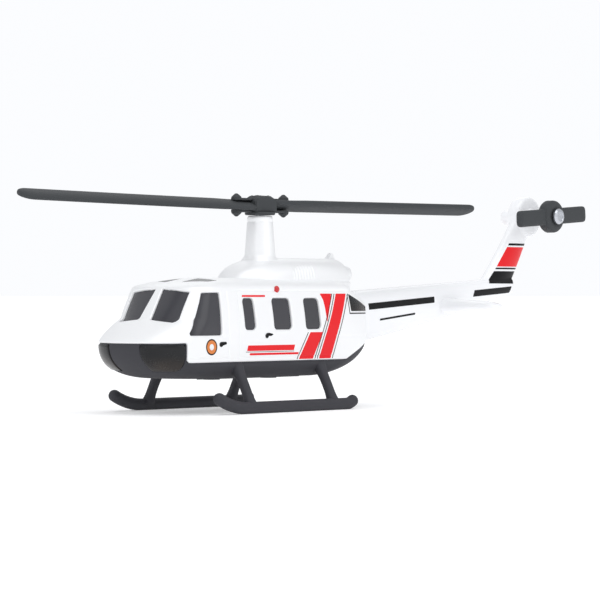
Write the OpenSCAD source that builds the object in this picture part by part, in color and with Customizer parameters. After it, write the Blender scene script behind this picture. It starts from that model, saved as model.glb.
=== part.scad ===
// Utility helicopter scale model: a white shell over a black base, two free-spinning rotors on pins.
// Nose towards -Y, port side towards +X, up is +Z. The ground is at Z = 0.
// Shapes are drawn with the main rotor axis at X = Y = 0, then moved so that the model's box is centred.

/* [Cabin] */
// Width of the cabin at its flanks
cabin_w = 18.7; // [16:0.1:22]
// Width of the cabin at the door rail, under the roof
rail_w = 17.2; // [14.5:0.1:18]
// Width of the flat of the belly
belly_w = 13; // [10:0.1:15]
// Rotor axis forward to the tip of the nose
nose_len = 33; // [30:0.1:38]
// Rotor axis forward to the front of the flat belly
chin_len = 24; // [20:0.1:27]
// Rotor axis forward to the foot of the windscreen
screen_len = 27.7; // [26:0.1:29]
// Rotor axis forward to the top of the windscreen
brow_len = 24.3; // [23:0.1:25.5]
// Rotor axis forward to the front of the roof's crown
crown_len = 16.5; // [14:0.1:20]
// Rotor axis back to the rear tip of the cabin
tail_len = 23.4; // [21:0.1:25]
// Rotor axis back to where the flanks start to close in
flank_len = 12; // [10:0.1:13]
// Rotor axis back to the end of the door rail
rail_end = 17.1; // [15.5:0.1:19]
// Rotor axis back to the end of the roof's crown
crown_end = 14.5; // [13.5:0.1:15]
// Rotor axis back to the end of the flat belly
belly_end = 9; // [7:0.1:11]
// Depth of the rounded nose at the chin
chin_depth = 5.9; // [4.5:0.1:7]
// Depth of the rounded nose at the brow
brow_depth = 4.2; // [3.5:0.1:5.5]
// Wall of the shell and of the base
wall = 1; // [0.8:0.05:1.2]
// How far the base stands back from the shell's side
base_step = 0.35; // [0.2:0.05:0.5]

/* [Cabin heights] */
// Ground up to the belly
belly_z = 5.6; // [5:0.1:6.2]
// Ground up to the seam between shell and base
seam_z = 8.3; // [7.8:0.1:8.9]
// Rise of that seam behind the flanks, for each millimetre back
seam_rise = 0.4; // [0:0.05:0.6]
// Ground up to the tip of the nose
nose_z = 10.9; // [10:0.1:11.3]
// Ground up to the seam across the nose
chin_z = 11.5; // [11.3:0.1:12]
// Ground up to where the flanks start to lean in
waist_z = 13; // [12.5:0.1:15]
// Ground up to the foot of the windscreen
screen_z = 15.3; // [14.8:0.1:16]
// Ground up to where the rear starts to round off
shoulder_z = 17.2; // [16:0.1:18]
// Ground up to the door rail
rail_z = 19.9; // [19.4:0.1:20.1]
// Ground up to the top of the windscreen
brow_z = 20.2; // [20.15:0.05:20.5]
// Ground up to the roof's crown
roof_z = 21.9; // [21.5:0.1:22.5]

/* [Windows] */
// Foot of the cabin windows above the ground
window_z = 13.4; // [13:0.1:14]
// Height of the cabin windows
window_h = 5.2; // [4:0.1:5.5]
// Corner radius of the cabin windows
window_r = 0.7; // [0.3:0.1:1]
// How far the top of a cabin window stands ahead of its foot
window_slant = 0.3; // [0:0.1:0.8]
// Width of each cabin window, from the front
window_w = [2.7, 4.5, 3.9];
// Centre of each cabin window along the cabin, from the front
window_y = [-12.7, -4.7, 2.9];
// Foot of the door window above the ground
door_window_z = 12.6; // [12:0.1:13.5]
// Height of the door window
door_window_h = 6.9; // [6:0.1:7]
// Front edge of the door window at its foot
door_window_front = -26.8; // [-27.2:0.1:-26]
// Rear edge of the door window
door_window_rear = -19.4; // [-20:0.1:-18.5]
// How far the door window's front edge leans back
door_window_lean = 3.8; // [2.5:0.1:4]
// Corner radius of the door window
door_window_r = 0.3; // [0.1:0.1:0.6]
// Corner radius of the windscreens and the roof windows
screen_r = 0.2; // [0.1:0.1:0.6]
// Rotor axis to the front edge of the roof windows
roof_window_front = -21; // [-21.5:0.1:-18]
// Length of the roof windows
roof_window_l = 5; // [3:0.1:6]
// Outer edge of the roof windows, out from the post
roof_window_w = 4.5; // [3:0.1:5]
// Inner edge of the roof windows, out from the post
roof_window_gap = 0.6; // [0.3:0.1:1]
// How far the outer end of a roof window's front edge is swept back
roof_window_sweep = 2; // [0:0.1:2.4]
// Half the width of the post between the windscreens
post_w = 1; // [0.8:0.1:1.6]
// How much wider that post is at its foot than at its top
post_flare = 0.5; // [0:0.1:0.8]
// Width of each windscreen at its foot
screen_w = 5.3; // [4:0.1:5.5]
// How far the outer corners of a windscreen stand below its inner ones, at the foot and at the top
screen_droop = [0.9, 0.6];
// Thickness of the clear window insert
insert_wall = 0.6; // [0.4:0.05:0.8]
// Gap between the shell's inside and the skin of the clear insert
insert_gap = 0.15; // [0.1:0.05:0.25]
// Half the width of the black bar between the chin windows
chin_bar = 3.4; // [2:0.1:4]
// Front edge of the cabin door, where the chin window ends
chin_window_end = -27.4; // [-28:0.1:-27]
// Foot of the chin windows above the ground
chin_window_z = 6.9; // [6.5:0.1:8]
// How far the chin windows bulge past the base
chin_bulge = 0.15; // [0.05:0.05:0.25]

/* [Cowling and mast] */
// Width of the engine cowling
cowl_w = 12; // [10:0.1:13]
// Top of the cowling above the ground
cowl_z = 25.3; // [24.5:0.1:26]
// Rotor axis forward to the cowling's nose
cowl_front = 8.3; // [7:0.1:11]
// Rotor axis back to the cowling's tail
cowl_rear = 20.9; // [19.5:0.1:23]
// Rotor axis back to the front and the rear of the cowling's flat top
cowl_crown = [1, 18.2];
// Rotor axis back to where the cowling's sides start to close in
cowl_flank = 9; // [7:0.1:11]
// Depth of the cowling's rounded nose
cowl_nose = 9; // [7:0.1:9]
// Top of the mast fairing above the ground
mast_z = 32.3; // [30:0.1:34]
// Diameter at the foot of the mast fairing
mast_d = 5.2; // [4.6:0.1:6]
// Diameter at the top of the mast fairing
mast_top_d = 4.2; // [3.8:0.1:4.5]
// Diameter of the exhaust pipe
exhaust_d = 2.7; // [2.4:0.1:3.4]
// Length of the exhaust pipe
exhaust_len = 5.6; // [4.5:0.1:6]
// Bore of the exhaust pipe
exhaust_bore = 1.8; // [1.4:0.1:2.2]
// Length of the exhaust pipe that is let into the cowling
exhaust_seat = 4; // [3:0.1:5]
// Top of the cowling down to the exhaust pipe's axis
exhaust_drop = 2.6; // [2:0.1:3]
// Height of the lamp housing on the cowling
beacon_h = 1; // [0.6:0.1:1.4]
// Length of the lamp housing
beacon_l = 3.2; // [2.4:0.1:4]
// Thickness of the lamp housing
beacon_t = 1.2; // [0.8:0.1:1.6]
// Rotor axis back to the middle of the lamp housing
beacon_y = 17.8; // [13:0.1:18]
// Depth that the lamp housing is let into the cowling
beacon_seat = 1; // [0.6:0.1:1.4]

/* [Tail] */
// Rotor axis back to the root of the boom
boom_start = 17; // [15:0.1:18]
// Rotor axis back to the end of the boom
boom_len = 69.4; // [60:0.1:75]
// Width of the boom at its root
boom_root_w = 8; // [6.5:0.1:9]
// Width of the boom at its tip
boom_tip_w = 2.7; // [2.4:0.1:3.5]
// Root of the boom, bottom and top, above the ground
boom_root_z = [9.8, 19.4];
// Tip of the boom, bottom and top, above the ground
boom_tip_z = [19.4, 22.4];
// How far the underside of the boom sags below a straight line
boom_sag = 0.7; // [0:0.1:1.2]
// Rotor axis back to the tail rotor axis
tail_axis_y = 74.5; // [66:0.5:84]
// Tail rotor axis above the ground
tail_axis_z = 33.7; // [32:0.1:36]
// Chord of the fin at its foot
fin_root_c = 9.6; // [7:0.1:11]
// Chord of the fin at its top
fin_top_c = 5.6; // [4:0.1:6.5]
// Thickness of the fin
fin_t = 2.4; // [2:0.1:3]
// End of the boom forward to the middle of the fin's foot
fin_inset = 5.8; // [5:0.1:8]
// Tail rotor axis forward to the middle of the fin's top
fin_lead = 0.4; // [0:0.1:1]
// Width of the sloping edge of the gearbox, and its depth
gearbox_edge = [0.7, 0.5];
// Diameter of the tail gearbox
gearbox_d = 7.6; // [6.5:0.1:8.5]
// Thickness of the tail gearbox
gearbox_t = 2.8; // [2.6:0.1:3.4]
// Diameter of the gearbox bosses
boss_d = 2.8; // [2.6:0.1:3.4]
// End of the port boss, out from the middle
port_boss = 5; // [4:0.1:6]
// End of the starboard boss, out from the middle
star_boss = 4.7; // [3:0.1:5.5]
// Span from tip to tip of the stabiliser
stab_span = 26.8; // [22:0.1:30]
// Chord of the stabiliser at the boom and at its tip
stab_chord = [6.4, 3.8];
// Thickness of the stabiliser at the boom and at its tip
stab_t = [2.9, 1.2];
// Rotor axis back to the middle of the stabiliser's chord
stab_y = 48.6; // [42:0.1:52]
// Height of the stabiliser above the ground
stab_z = 17.15; // [16.8:0.05:18]

/* [Side lamps] */
// Rotor axis to the side lamps, behind it where more than 0
light_y = -5.5; // [-8:0.1:0]
// Diameter of a side lamp
light_d = 1; // [0.8:0.1:1.2]
// Length of a side lamp
light_h = 0.45; // [0.3:0.05:0.6]
// How far a side lamp is let into the shell
light_seat = 0.1; // [0.05:0.05:0.2]

/* [Undercarriage] */
// Distance between the middles of the skids
skid_track = 23.4; // [21:0.1:26]
// Diameter of the skid tubes
skid_d = 2; // [1.7:0.1:2.4]
// Depth of the flat on the underside of the skids
skid_flat = 0.08; // [0.05:0.01:0.15]
// Front end of the straight part of the skids
skid_front = -16; // [-18:0.1:-15.5]
// Rear end of the straight part of the skids
skid_rear = 8.5; // [7:0.1:12]
// Radius and angle of the bend at the toe
toe_bend = [14.8, 27];
// Radius and angle of the bend at the heel
heel_bend = [3, 32];
// Diameter of the struts
strut_d = 1.6; // [1.3:0.1:1.9]
// Diameter of the flare at the foot of the struts
strut_foot_d = 2.2; // [2:0.1:2.6]
// Height of the flare above the skid
strut_foot_h = 1.2; // [0.6:0.1:2]
// Place of the front and rear struts along the model
strut_y = [-15, 5.4];
// Distance between the tops of a pair of struts
strut_top_track = 16.2; // [15:0.1:17]

/* [Main rotor] */
// Rotor axis to the tip of a blade
rotor_r = 48; // [40:0.5:60]
// Angle of the blades from the model's length at rest
rotor_yaw = 10; // [0:1:30]
// Middle of the blades above the ground
rotor_z = 34.05; // [33.8:0.05:35]
// Chord of a blade
blade_c = 4.2; // [3.5:0.1:5]
// Thickness of a blade
blade_t = 1.1; // [0.9:0.05:1.3]
// Gap between a blade and the grip plates above and below it
grip_gap = 0.2; // [0.15:0.05:0.3]
// Pitch of a blade
blade_pitch = 18; // [5:1:22]
// How far the tip of the front and of the rear blade rises above the hub
blade_rise = [0.9, 0.1]; // [0:0.05:1]
// Length of the hub block along the blades
hub_l = 4.6; // [4.2:0.1:6]
// Width of the hub block
hub_w = 3.6; // [3.4:0.1:5]
// Height of the hub block
hub_h = 2.8; // [2.6:0.1:3.2]
// Diameter of the plate under the hub
hub_plate_d = 5.1; // [4.6:0.1:5.6]
// Reach of the blade grips from the axis
grip_reach = 5.9; // [5.6:0.1:8]
// Place of the blade bolts from the axis
bolt_reach = 5; // [4.4:0.1:5.4]
// Thickness of each grip plate
grip_t = 0.45; // [0.4:0.05:0.6]
// Width of the grip plates
grip_w = 1.8; // [1.6:0.1:2.4]
// Diameter of the blade bolts
bolt_d = 1; // [0.8:0.1:1.2]
// Diameter of a bolt's nut at its foot and at its top
nut_d = [1.7, 0.6];
// Height of a bolt's nut
nut_t = 0.75; // [0.5:0.05:0.9]
// Diameter of the main rotor pin
pin_d = 1.6; // [1.4:0.1:1.8]
// Diameter of the main rotor pin's head
pin_head_d = 2.4; // [2.2:0.1:2.6]

/* [Tail rotor] */
// Tail rotor axis to the tip of a blade
tail_r = 10.35; // [8:0.05:12]
// Tilt of the tail blades at rest
tail_tilt = 4; // [0:1:20]
// Width of a tail blade
tail_blade_w = 3; // [2.4:0.1:3.8]
// Thickness of a tail blade
tail_blade_t = 1.5; // [1:0.1:1.8]
// Diameter of the tail rotor hub
tail_hub_d = 6; // [5:0.1:6.6]
// Thickness of the tail rotor hub
tail_hub_t = 2.3; // [1.8:0.1:2.8]
// Diameter of the tail rotor pin
tail_pin_d = 1.4; // [1.2:0.1:1.6]
// Diameter of the tail rotor pin's head
tail_head_d = 2.9; // [2.4:0.1:3.2]
// Thickness of the tail rotor pin's head
tail_head_t = 0.8; // [0.6:0.1:1]

/* [Fits] */
// Gap all round between a pin and the rotor that turns on it
run_gap = 0.06; // [0.04:0.01:0.1]
// Gap at each end of a rotor along its axis
end_gap = 0.15; // [0.1:0.01:0.3]
// Diameter of the rivets that hold the base to the shell
rivet_d = 1.4; // [1.2:0.1:2]
// Length of the rivets inside the posts
rivet_len = 4; // [3:0.1:6]
// Place of the front and rear rivets along the model
rivet_y = [-12, 2];
// Wall of the posts that the rivets enter
post_wall = 0.8; // [0.6:0.1:1]

/* [Hidden] */
$fn = 48;

white = [0.93, 0.94, 0.95];
black = [0.13, 0.14, 0.16];
smoke = [0.1, 0.1, 0.11];
steel = [0.75, 0.77, 0.8];
red = [0.8, 0.07, 0.08];

far = 60;                      // longer than anything that a cut has to pass through
lap = 0.01;                    // how far a cut runs past a face
front_reach = (rotor_r - blade_c/2)*cos(rotor_yaw) + blade_c/2;
rear_reach = tail_axis_y + (tail_r - tail_blade_w/2)*cos(tail_tilt) + tail_blade_w/2;
origin_y = (front_reach - rear_reach)/2;
skid_z = skid_d/2 - skid_flat;
skid_x = skid_track/2;
strut_top_z = seam_z - 0.1;
insert_foot_z = chin_z + 0.6;
screen_reach = 2.5;            // how far behind the brow the windscreen openings are cut
cowl_foot_z = boom_root_z[1] + 0.1;
cowl_seat_z = roof_z - wall;
hub_z = mast_z + end_gap;
hub_plate_t = 0.5;
hub_top_z = hub_z + hub_plate_t + hub_h;
head_sink = 0.9;               // depth of the recess for the main pin's head
head_t = 0.6;                  // thickness of the main pin's head
pin_depth = 9;                 // length of the pins inside what holds them
tail_hub_x = port_boss + end_gap;
tail_pin_depth = port_boss + star_boss - 1;
sides = 20;                    // steps round each half of a cabin outline
cowl_sides = 16;               // the same for the cowling
tail_sides = 24;               // steps round a section of the boom and the fin
blade_sides = 16;              // steps round a section of a blade and a stabiliser
skin_sides = 12;               // the same for the hidden skin of the insert
base_ring = 1.4;               // height of the rings of the base
rivet_head_d = rivet_d + 0.6;
rivet_head_t = 0.3;

// Moves a piece from the rotor axis to the model's own origin
module place() translate([0, origin_y, 0]) children();

// Port piece as drawn, or its mirror image
module on_side(side) mirror([side > 0 ? 0 : 1, 0, 0]) children();

function mix(a, b, t) = a + (b - a)*t;
function part_way(a, b, v) = min(1, max(0, (v - a)/(b - a)));
// One quarter of a superellipse: 1 where t is 0, and 0 where t is 1
function swell(t, n) = pow(max(0, 1 - pow(min(1, max(0, t)), n)), 1/n);
function signed_pow(v, p) = sign(v)*pow(abs(v), p);

// The cabin's outline at a height: half its width, and where its nose and its tail are
function half_w(z) =
    z < seam_z ? mix(belly_w, cabin_w, swell((seam_z - z)/(seam_z - belly_z), 2))/2
  : z < rail_z ? mix(cabin_w, rail_w, pow(part_way(waist_z, rail_z, z), 2))/2
  : rail_w/2*swell(part_way(rail_z, roof_z, z), 2.3);
function nose_y(z) =
    z < nose_z ? -mix(chin_len, nose_len, swell((nose_z - z)/(nose_z - belly_z), 2))
  : z < screen_z ? -mix(nose_len, screen_len, pow(part_way(nose_z, screen_z, z), 1.5))
  : z < brow_z ? -mix(screen_len, brow_len, part_way(screen_z, brow_z, z))
  : -mix(brow_len, crown_len, pow(part_way(brow_z, roof_z, z), 1.6));
function tail_y(z) =
    z < nose_z ? mix(belly_end, tail_len, swell((nose_z - z)/(nose_z - belly_z), 1.6))
  : z < rail_z ? mix(tail_len, rail_end, pow(part_way(shoulder_z, rail_z, z), 1.5))
  : mix(rail_end, crown_end, pow(part_way(rail_z, roof_z, z), 2));
function flank_y(z) = z < nose_z ? flank_len*tail_y(z)/tail_len : flank_len;
function nose_depth(z) = mix(chin_depth, brow_depth, part_way(screen_z, rail_z, z));
function nose_power(z) = mix(2.2, 2.8, part_way(screen_z, rail_z, z));

// Half an outline: an arc of a superellipse, to the front (way -1) or to the rear (way 1)
function half_outline(w, middle, depth, power, way, z, n) =
    [for (i = [0:n]) let (a = 180*i/n)
        [way*signed_pow(cos(a), 2/power)*w, middle + way*pow(sin(a), 2/power)*depth, z]];
function cabin_outline(z, shape_z, inset, n) = concat(
    half_outline(half_w(shape_z) - inset, flank_y(shape_z), tail_y(shape_z) - flank_y(shape_z) - inset, 2, 1, z, n),
    half_outline(half_w(shape_z) - inset, nose_y(shape_z) + nose_depth(shape_z), nose_depth(shape_z) - inset,
        nose_power(shape_z), -1, z, n));

// A closed solid through rings that all have the same number of points, turning counterclockwise as they rise
module loft(rings) {
    n = len(rings[0]);
    last = (len(rings) - 1)*n;
    walls = [for (r = [0:len(rings) - 2], i = [0:n - 1], half = [0:1]) let (j = (i + 1) % n, b = r*n)
        half == 0 ? [b + i, b + n + j, b + j] : [b + i, b + n + i, b + n + j]];
    caps = [for (i = [1:n - 2]) each [[0, i, i + 1], [last, last + i + 1, last + i]]];
    polyhedron([for (r = rings) each r], concat(walls, caps));
}

// Heights of the cabin's rings: even steps up the wall, then closing in towards the crown
function wall_rings(from, to, step) = [for (i = [0:ceil((to - from)/step)]) min(from + i*step, to - lap)];
function crown_rings(from, to, n) = [for (i = [0:n]) from + (to - from)*sin(88*i/n)];

module cabin_solid(foot, inset, roof_drop, n = sides) {
    top = roof_z - roof_drop;
    rail = rail_z - roof_drop;
    zs = concat(wall_rings(foot, rail, 0.7), crown_rings(rail, top, 8));
    loft([for (z = zs) cabin_outline(z, z + roof_drop*pow(part_way(seam_z, rail, z), 2), inset, n)]);
}

module base_solid(foot, inset, n = sides) {
    top = chin_z + wall;
    steps = 5;
    zs = concat([for (i = [0:steps]) mix(foot, seam_z, 1 - cos(90*i/steps))], wall_rings(nose_z - 1, top, base_ring));
    loft([for (z = zs) cabin_outline(z, max(z, belly_z), inset, n)]);
}

// The space under the seam, as seen from the side: it steps up round the chin and rises at the rear
module under_seam() {
    rotate([90, 0, 90]) linear_extrude(far, center = true) polygon([
        [-far, -far], [-far, chin_z], [chin_window_end, chin_z],
        [chin_window_end, seam_z], [flank_len, seam_z],
        [far, seam_z + (far - flank_len)*seam_rise], [far, -far]]);
}

// Window with round corners, cut along +Z through the four corners given, each already drawn in by the radius
module rounded_cut(corners, r) {
    hull() for (c = corners) translate([c[0], c[1], 0]) cylinder(r = r, h = far, $fn = 32);
}
// Frame of a side window: along +X from the middle, with the cut's x along the cabin and its y upwards
module on_flank(side) on_side(side) rotate([90, 0, 90]) children();

module cabin_window(side, i) {
    w = window_w[i]/2 - window_r;
    foot = window_z + window_r;
    top = window_z + window_h - window_r;
    lean = window_slant/2;
    on_flank(side) rounded_cut([
        for (dy = [-w, w]) each [[window_y[i] + dy + lean, foot], [window_y[i] + dy - lean, top]]],
        window_r);
}

module door_window(side) {
    r = door_window_r;
    foot = door_window_z + r;
    top = door_window_z + door_window_h - r;
    on_flank(side) rounded_cut([
        [door_window_front + r, foot], [door_window_rear - r, foot],
        [door_window_rear - r, top], [door_window_front + door_window_lean + r, top]], r);
}

// Windscreen opening, drawn as seen from the front and cut back into the nose
module windscreen(side) {
    r = screen_r;
    flare = post_flare/2;
    outer = post_w + screen_w - r;
    on_side(side) translate([0, screen_reach - brow_len, 0]) rotate([90, 0, 0]) rounded_cut([
        [post_w + flare + r, screen_z + r], [outer, screen_z - screen_droop[0] + r],
        [outer, brow_z - screen_droop[1] - r], [post_w - flare + r, brow_z - r]], r);
}

module roof_window(side) {
    r = screen_r;
    inner = post_w + roof_window_gap + r;
    outer = post_w + roof_window_w - r;
    front = roof_window_front + r;
    rear = roof_window_front + roof_window_l - r;
    on_side(side) translate([0, 0, brow_z - wall])
        rounded_cut([[inner, front], [outer, front + roof_window_sweep], [outer, rear], [inner, rear]], r);
}

// Every window opening of the shell
module openings() {
    for (side = [-1, 1]) {
        for (i = [0:len(window_y) - 1]) cabin_window(side, i);
        door_window(side);
        windscreen(side);
        roof_window(side);
    }
}

module cabin_shell() {
    color(white) place() difference() {
        cabin_solid(seam_z, 0, 0);
        cabin_solid(seam_z - 1, wall, wall);
        under_seam();
        openings();
        cowl_solid();
        boom_solid();
    }
}

// Clear moulding behind the windows, seen from its outside (drop: how far inside the shell's own outside)
module insert_skin(foot, drop) {
    top = roof_z - drop;
    rail = rail_z - drop;
    fold = screen_z - 0.4*drop;    // the foot of the windscreen, drawn in with the skin
    zs = concat([foot, mix(foot, fold, 0.5), fold, mix(fold, rail, 0.5)], crown_rings(rail, top, 4));
    loft([for (z = zs) cabin_outline(z, z + drop*pow(part_way(seam_z, rail, z), 2), drop, skin_sides)]);
}

// Thin closed skin just inside the shell, which every window opening shows
module window_insert() {
    color(smoke) place() difference() {
        insert_skin(insert_foot_z, wall + insert_gap);
        insert_skin(insert_foot_z - 1, wall + insert_gap + insert_wall);
        translate([-far, flank_len - 1, 0]) cube(2*far);
    }
}

// The wedge of the chin that a chin window fills
module chin_pocket(side) {
    on_side(side) translate([chin_bar, chin_window_end - far, chin_window_z])
        cube([far, far, chin_z - chin_window_z + lap]);
}

module belly_base() {
    color(black) place() difference() {
        base_solid(belly_z, base_step);
        base_solid(belly_z + wall, base_step + wall);
        above_seam();
        for (side = [-1, 1]) chin_pocket(side);
        for (y = rivet_y) translate([0, y, belly_z - 1]) cylinder(d = rivet_d, h = wall + 2);
        boom_solid();
    }
}

module above_seam() {
    difference() {
        translate([-far, -far, 0]) cube(2*far);
        under_seam();
    }
}

module chin_window(side) {
    color(smoke) place() intersection() {
        difference() {
            base_solid(belly_z, base_step - chin_bulge);
            base_solid(belly_z + wall, base_step + wall);
        }
        chin_pocket(side);
        under_seam();
    }
}
module chin_window_port() chin_window(1);
module chin_window_starboard() chin_window(-1);

// Post that stands on the base inside the cabin and takes a rivet
module rivet_post(y) {
    color(white) place() translate([0, y, belly_z + wall]) difference() {
        cylinder(d = rivet_d + 2*post_wall, h = cowl_seat_z - belly_z - 2*wall - insert_wall);
        translate([0, 0, -lap]) cylinder(d = rivet_d, h = rivet_len + wall);
    }
}
module front_post() rivet_post(rivet_y[0]);
module rear_post() rivet_post(rivet_y[1]);

module rivet(y) {
    color(steel) place() translate([0, y, belly_z]) {
        cylinder(d = rivet_d, h = wall + rivet_len);
        translate([0, 0, -rivet_head_t]) cylinder(d = rivet_head_d, h = rivet_head_t);
    }
}
module front_rivet() rivet(rivet_y[0]);
module rear_rivet() rivet(rivet_y[1]);

module nav_light(side) {
    color(red) place() on_side(side) translate([rail_w/2 - light_seat, light_y, rail_z + light_seat])
        rotate([0, 90, 0]) cylinder(d1 = light_d, d2 = 0.6*light_d, h = light_h);
}
module nav_light_port() nav_light(1);
module nav_light_starboard() nav_light(-1);

function cowl_outline(z) =
    let (t = part_way(cowl_seat_z, cowl_z, z),
         w = cowl_w/2*swell(t, 3),
         front = mix(cowl_crown[0], -cowl_front, swell(t, 2)),
         rear = mix(cowl_crown[1], cowl_rear, swell(t, 2)))
    concat(half_outline(w, cowl_flank, rear - cowl_flank, 2.2, 1, z, cowl_sides),
           half_outline(w, front + cowl_nose, cowl_nose, 2.2, -1, z, cowl_sides));

// The cowling stands on the roof, and behind the crown it reaches down to the boom
module cowl_solid() {
    difference() {
        loft([for (z = concat([cowl_foot_z], crown_rings(cowl_seat_z, cowl_z, 8))) cowl_outline(z)]);
        translate([-far/2, crown_end - 2*wall - far, cowl_seat_z - far]) cube(far);
    }
}

module engine_cowling() {
    color(white) place() difference() {
        union() {
            cowl_solid();
            translate([0, 0, cowl_seat_z + wall])
                cylinder(d1 = mast_d + wall, d2 = mast_d, h = cowl_z - cowl_seat_z - wall);
            translate([0, 0, cowl_z - lap]) cylinder(d1 = mast_d, d2 = mast_top_d, h = mast_z - cowl_z + lap);
        }
        translate([0, 0, mast_z - pin_depth]) cylinder(d = pin_d, h = pin_depth + 1);
        on_exhaust() cylinder(d = exhaust_d, h = far);
    }
}

// Frame of the exhaust pipe: from its inner end towards the rear
module on_exhaust() translate([0, cowl_rear - exhaust_seat, cowl_z - exhaust_drop]) rotate([-90, 0, 0]) children();

module exhaust_pipe() {
    color(white) place() on_exhaust() difference() {
        cylinder(d = exhaust_d, h = exhaust_len);
        translate([0, 0, wall]) cylinder(d = exhaust_bore, h = far);
    }
}

module beacon() {
    foot = cowl_z - beacon_seat;
    color(white) place() translate([0, beacon_y, foot]) rotate([90, 0, 90])
        linear_extrude(beacon_t, center = true) polygon([
            [-beacon_l/2, 0], [beacon_l/2, 0], [beacon_l/4, beacon_seat + beacon_h],
            [0, beacon_seat + beacon_h]]);
}

// Boom section at a distance t from root (0) to tip (1)
function boom_section(t) =
    let (y = mix(boom_start, boom_len, t),
         low = mix(boom_root_z[0], boom_tip_z[0], t) - boom_sag*4*t*(1 - t),
         high = mix(boom_root_z[1], boom_tip_z[1], t),
         w = mix(boom_root_w, boom_tip_w, t)/2, h = (high - low)/2)
    [for (i = [0:tail_sides - 1]) let (a = 360*i/tail_sides)
        [-signed_pow(cos(a), 0.75)*w, y, (low + high)/2 + signed_pow(sin(a), 0.75)*h]];
module boom_solid() loft([for (i = [0:12]) boom_section(i/12)]);

// Fin section at a height: a lens whose chord shrinks towards the gearbox
function fin_section(t) =
    let (z = mix(mix(boom_tip_z[0], boom_tip_z[1], 0.2), tail_axis_z, t),
         chord = mix(fin_root_c, fin_top_c, pow(t, 0.8)),
         middle = mix(boom_len - fin_inset, tail_axis_y - fin_lead, pow(t, 0.85)))
    [for (i = [0:tail_sides - 1]) let (a = 360*i/tail_sides)
        [signed_pow(cos(a), 0.8)*fin_t/2, middle + sin(a)*chord/2, z]];

module tail_boom() {
    color(white) place() difference() {
        union() {
            boom_solid();
            loft([for (i = [0:10]) fin_section(i/10)]);
            translate([0, tail_axis_y, tail_axis_z]) rotate([0, 90, 0]) {
                cylinder(d = gearbox_d, h = gearbox_t - 2*gearbox_edge[1], center = true);
                for (way = [0, 1]) mirror([0, 0, way]) translate([0, 0, gearbox_t/2 - gearbox_edge[1]])
                    cylinder(d1 = gearbox_d, d2 = gearbox_d - 2*gearbox_edge[0], h = gearbox_edge[1]);
                translate([0, 0, -star_boss]) cylinder(d = boss_d, h = port_boss + star_boss);
            }
        }
        translate([port_boss + 1 - tail_pin_depth, tail_axis_y, tail_axis_z]) rotate([0, 90, 0])
            cylinder(d = tail_pin_d, h = tail_pin_depth);
    }
}

// Stabiliser section at a distance x out from the middle
function stab_section(x, t) =
    [for (i = [0:blade_sides - 1]) let (a = 360*i/blade_sides)
        [x, stab_y + cos(a)*mix(stab_chord[0], stab_chord[1], t)/2, stab_z + sin(a)*mix(stab_t[0], stab_t[1], t)/2]];

module stabiliser(side) {
    color(white) place() on_side(side) difference() {
        loft([for (t = [0, 0.25, 0.5, 0.75, 0.95, 1])
            stab_section(mix(boom_tip_w/2, stab_span/2, t), t < 1 ? t : 1.25)]);
        boom_solid();
    }
}
module stabiliser_port() stabiliser(1);
module stabiliser_starboard() stabiliser(-1);

// Bend at the end of a skid tube: it starts level at the origin and climbs towards +Y to a round end
module skid_bend(bend) {
    translate([0, 0, bend[0]]) rotate([0, 90, 0])
        rotate_extrude(angle = bend[1]) translate([bend[0], 0]) circle(d = skid_d);
    translate([0, bend[0]*sin(bend[1]), bend[0]*(1 - cos(bend[1]))]) sphere(d = skid_d);
}

module skid(side) {
    color(black) place() difference() {
        translate([side*skid_x, 0, skid_z]) {
            translate([0, skid_front, 0]) rotate([-90, 0, 0]) cylinder(d = skid_d, h = skid_rear - skid_front);
            translate([0, skid_rear, 0]) skid_bend(heel_bend);
            translate([0, skid_front, 0]) mirror([0, 1, 0]) skid_bend(toe_bend);
        }
        translate([side*skid_x, 0, -skid_d]) cube([2*skid_d, far, 2*skid_d], center = true);
    }
}
module skid_port() skid(1);
module skid_starboard() skid(-1);

module strut(side, y) {
    run = skid_x - strut_top_track/2;
    rise = strut_top_z - skid_z;
    lean = atan2(run, rise);
    color(black) place() on_side(side) difference() {
        translate([skid_x, y, skid_z]) rotate([0, -lean, 0]) {
            cylinder(d = strut_d, h = norm([run, rise]));
            cylinder(d1 = strut_foot_d, d2 = strut_d, h = skid_d/2 + strut_foot_h);
        }
        translate([skid_x, y, skid_z]) rotate([90, 0, 0]) cylinder(d = skid_d, h = far/2, center = true);
        translate([0, y, skid_z - far/2]) cube([far, far, far], center = true);
        translate([0, y, strut_top_z + far/2]) cube([far, far, far], center = true);
    }
}
module strut_front_port() strut(1, strut_y[0]);
module strut_front_starboard() strut(-1, strut_y[0]);
module strut_rear_port() strut(1, strut_y[1]);
module strut_rear_starboard() strut(-1, strut_y[1]);

module main_rotor_pin() {
    foot = mast_z - pin_depth;
    head_z = hub_top_z - head_sink + end_gap;
    color(steel) place() {
        translate([0, 0, foot]) cylinder(d = pin_d, h = head_z - foot + lap);
        translate([0, 0, head_z]) cylinder(d = pin_head_d, h = head_t);
    }
}

// Everything on the main rotor is drawn with the blades along Y, then turned to its rest angle
module on_rotor() place() rotate([0, 0, -rotor_yaw]) children();

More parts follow.
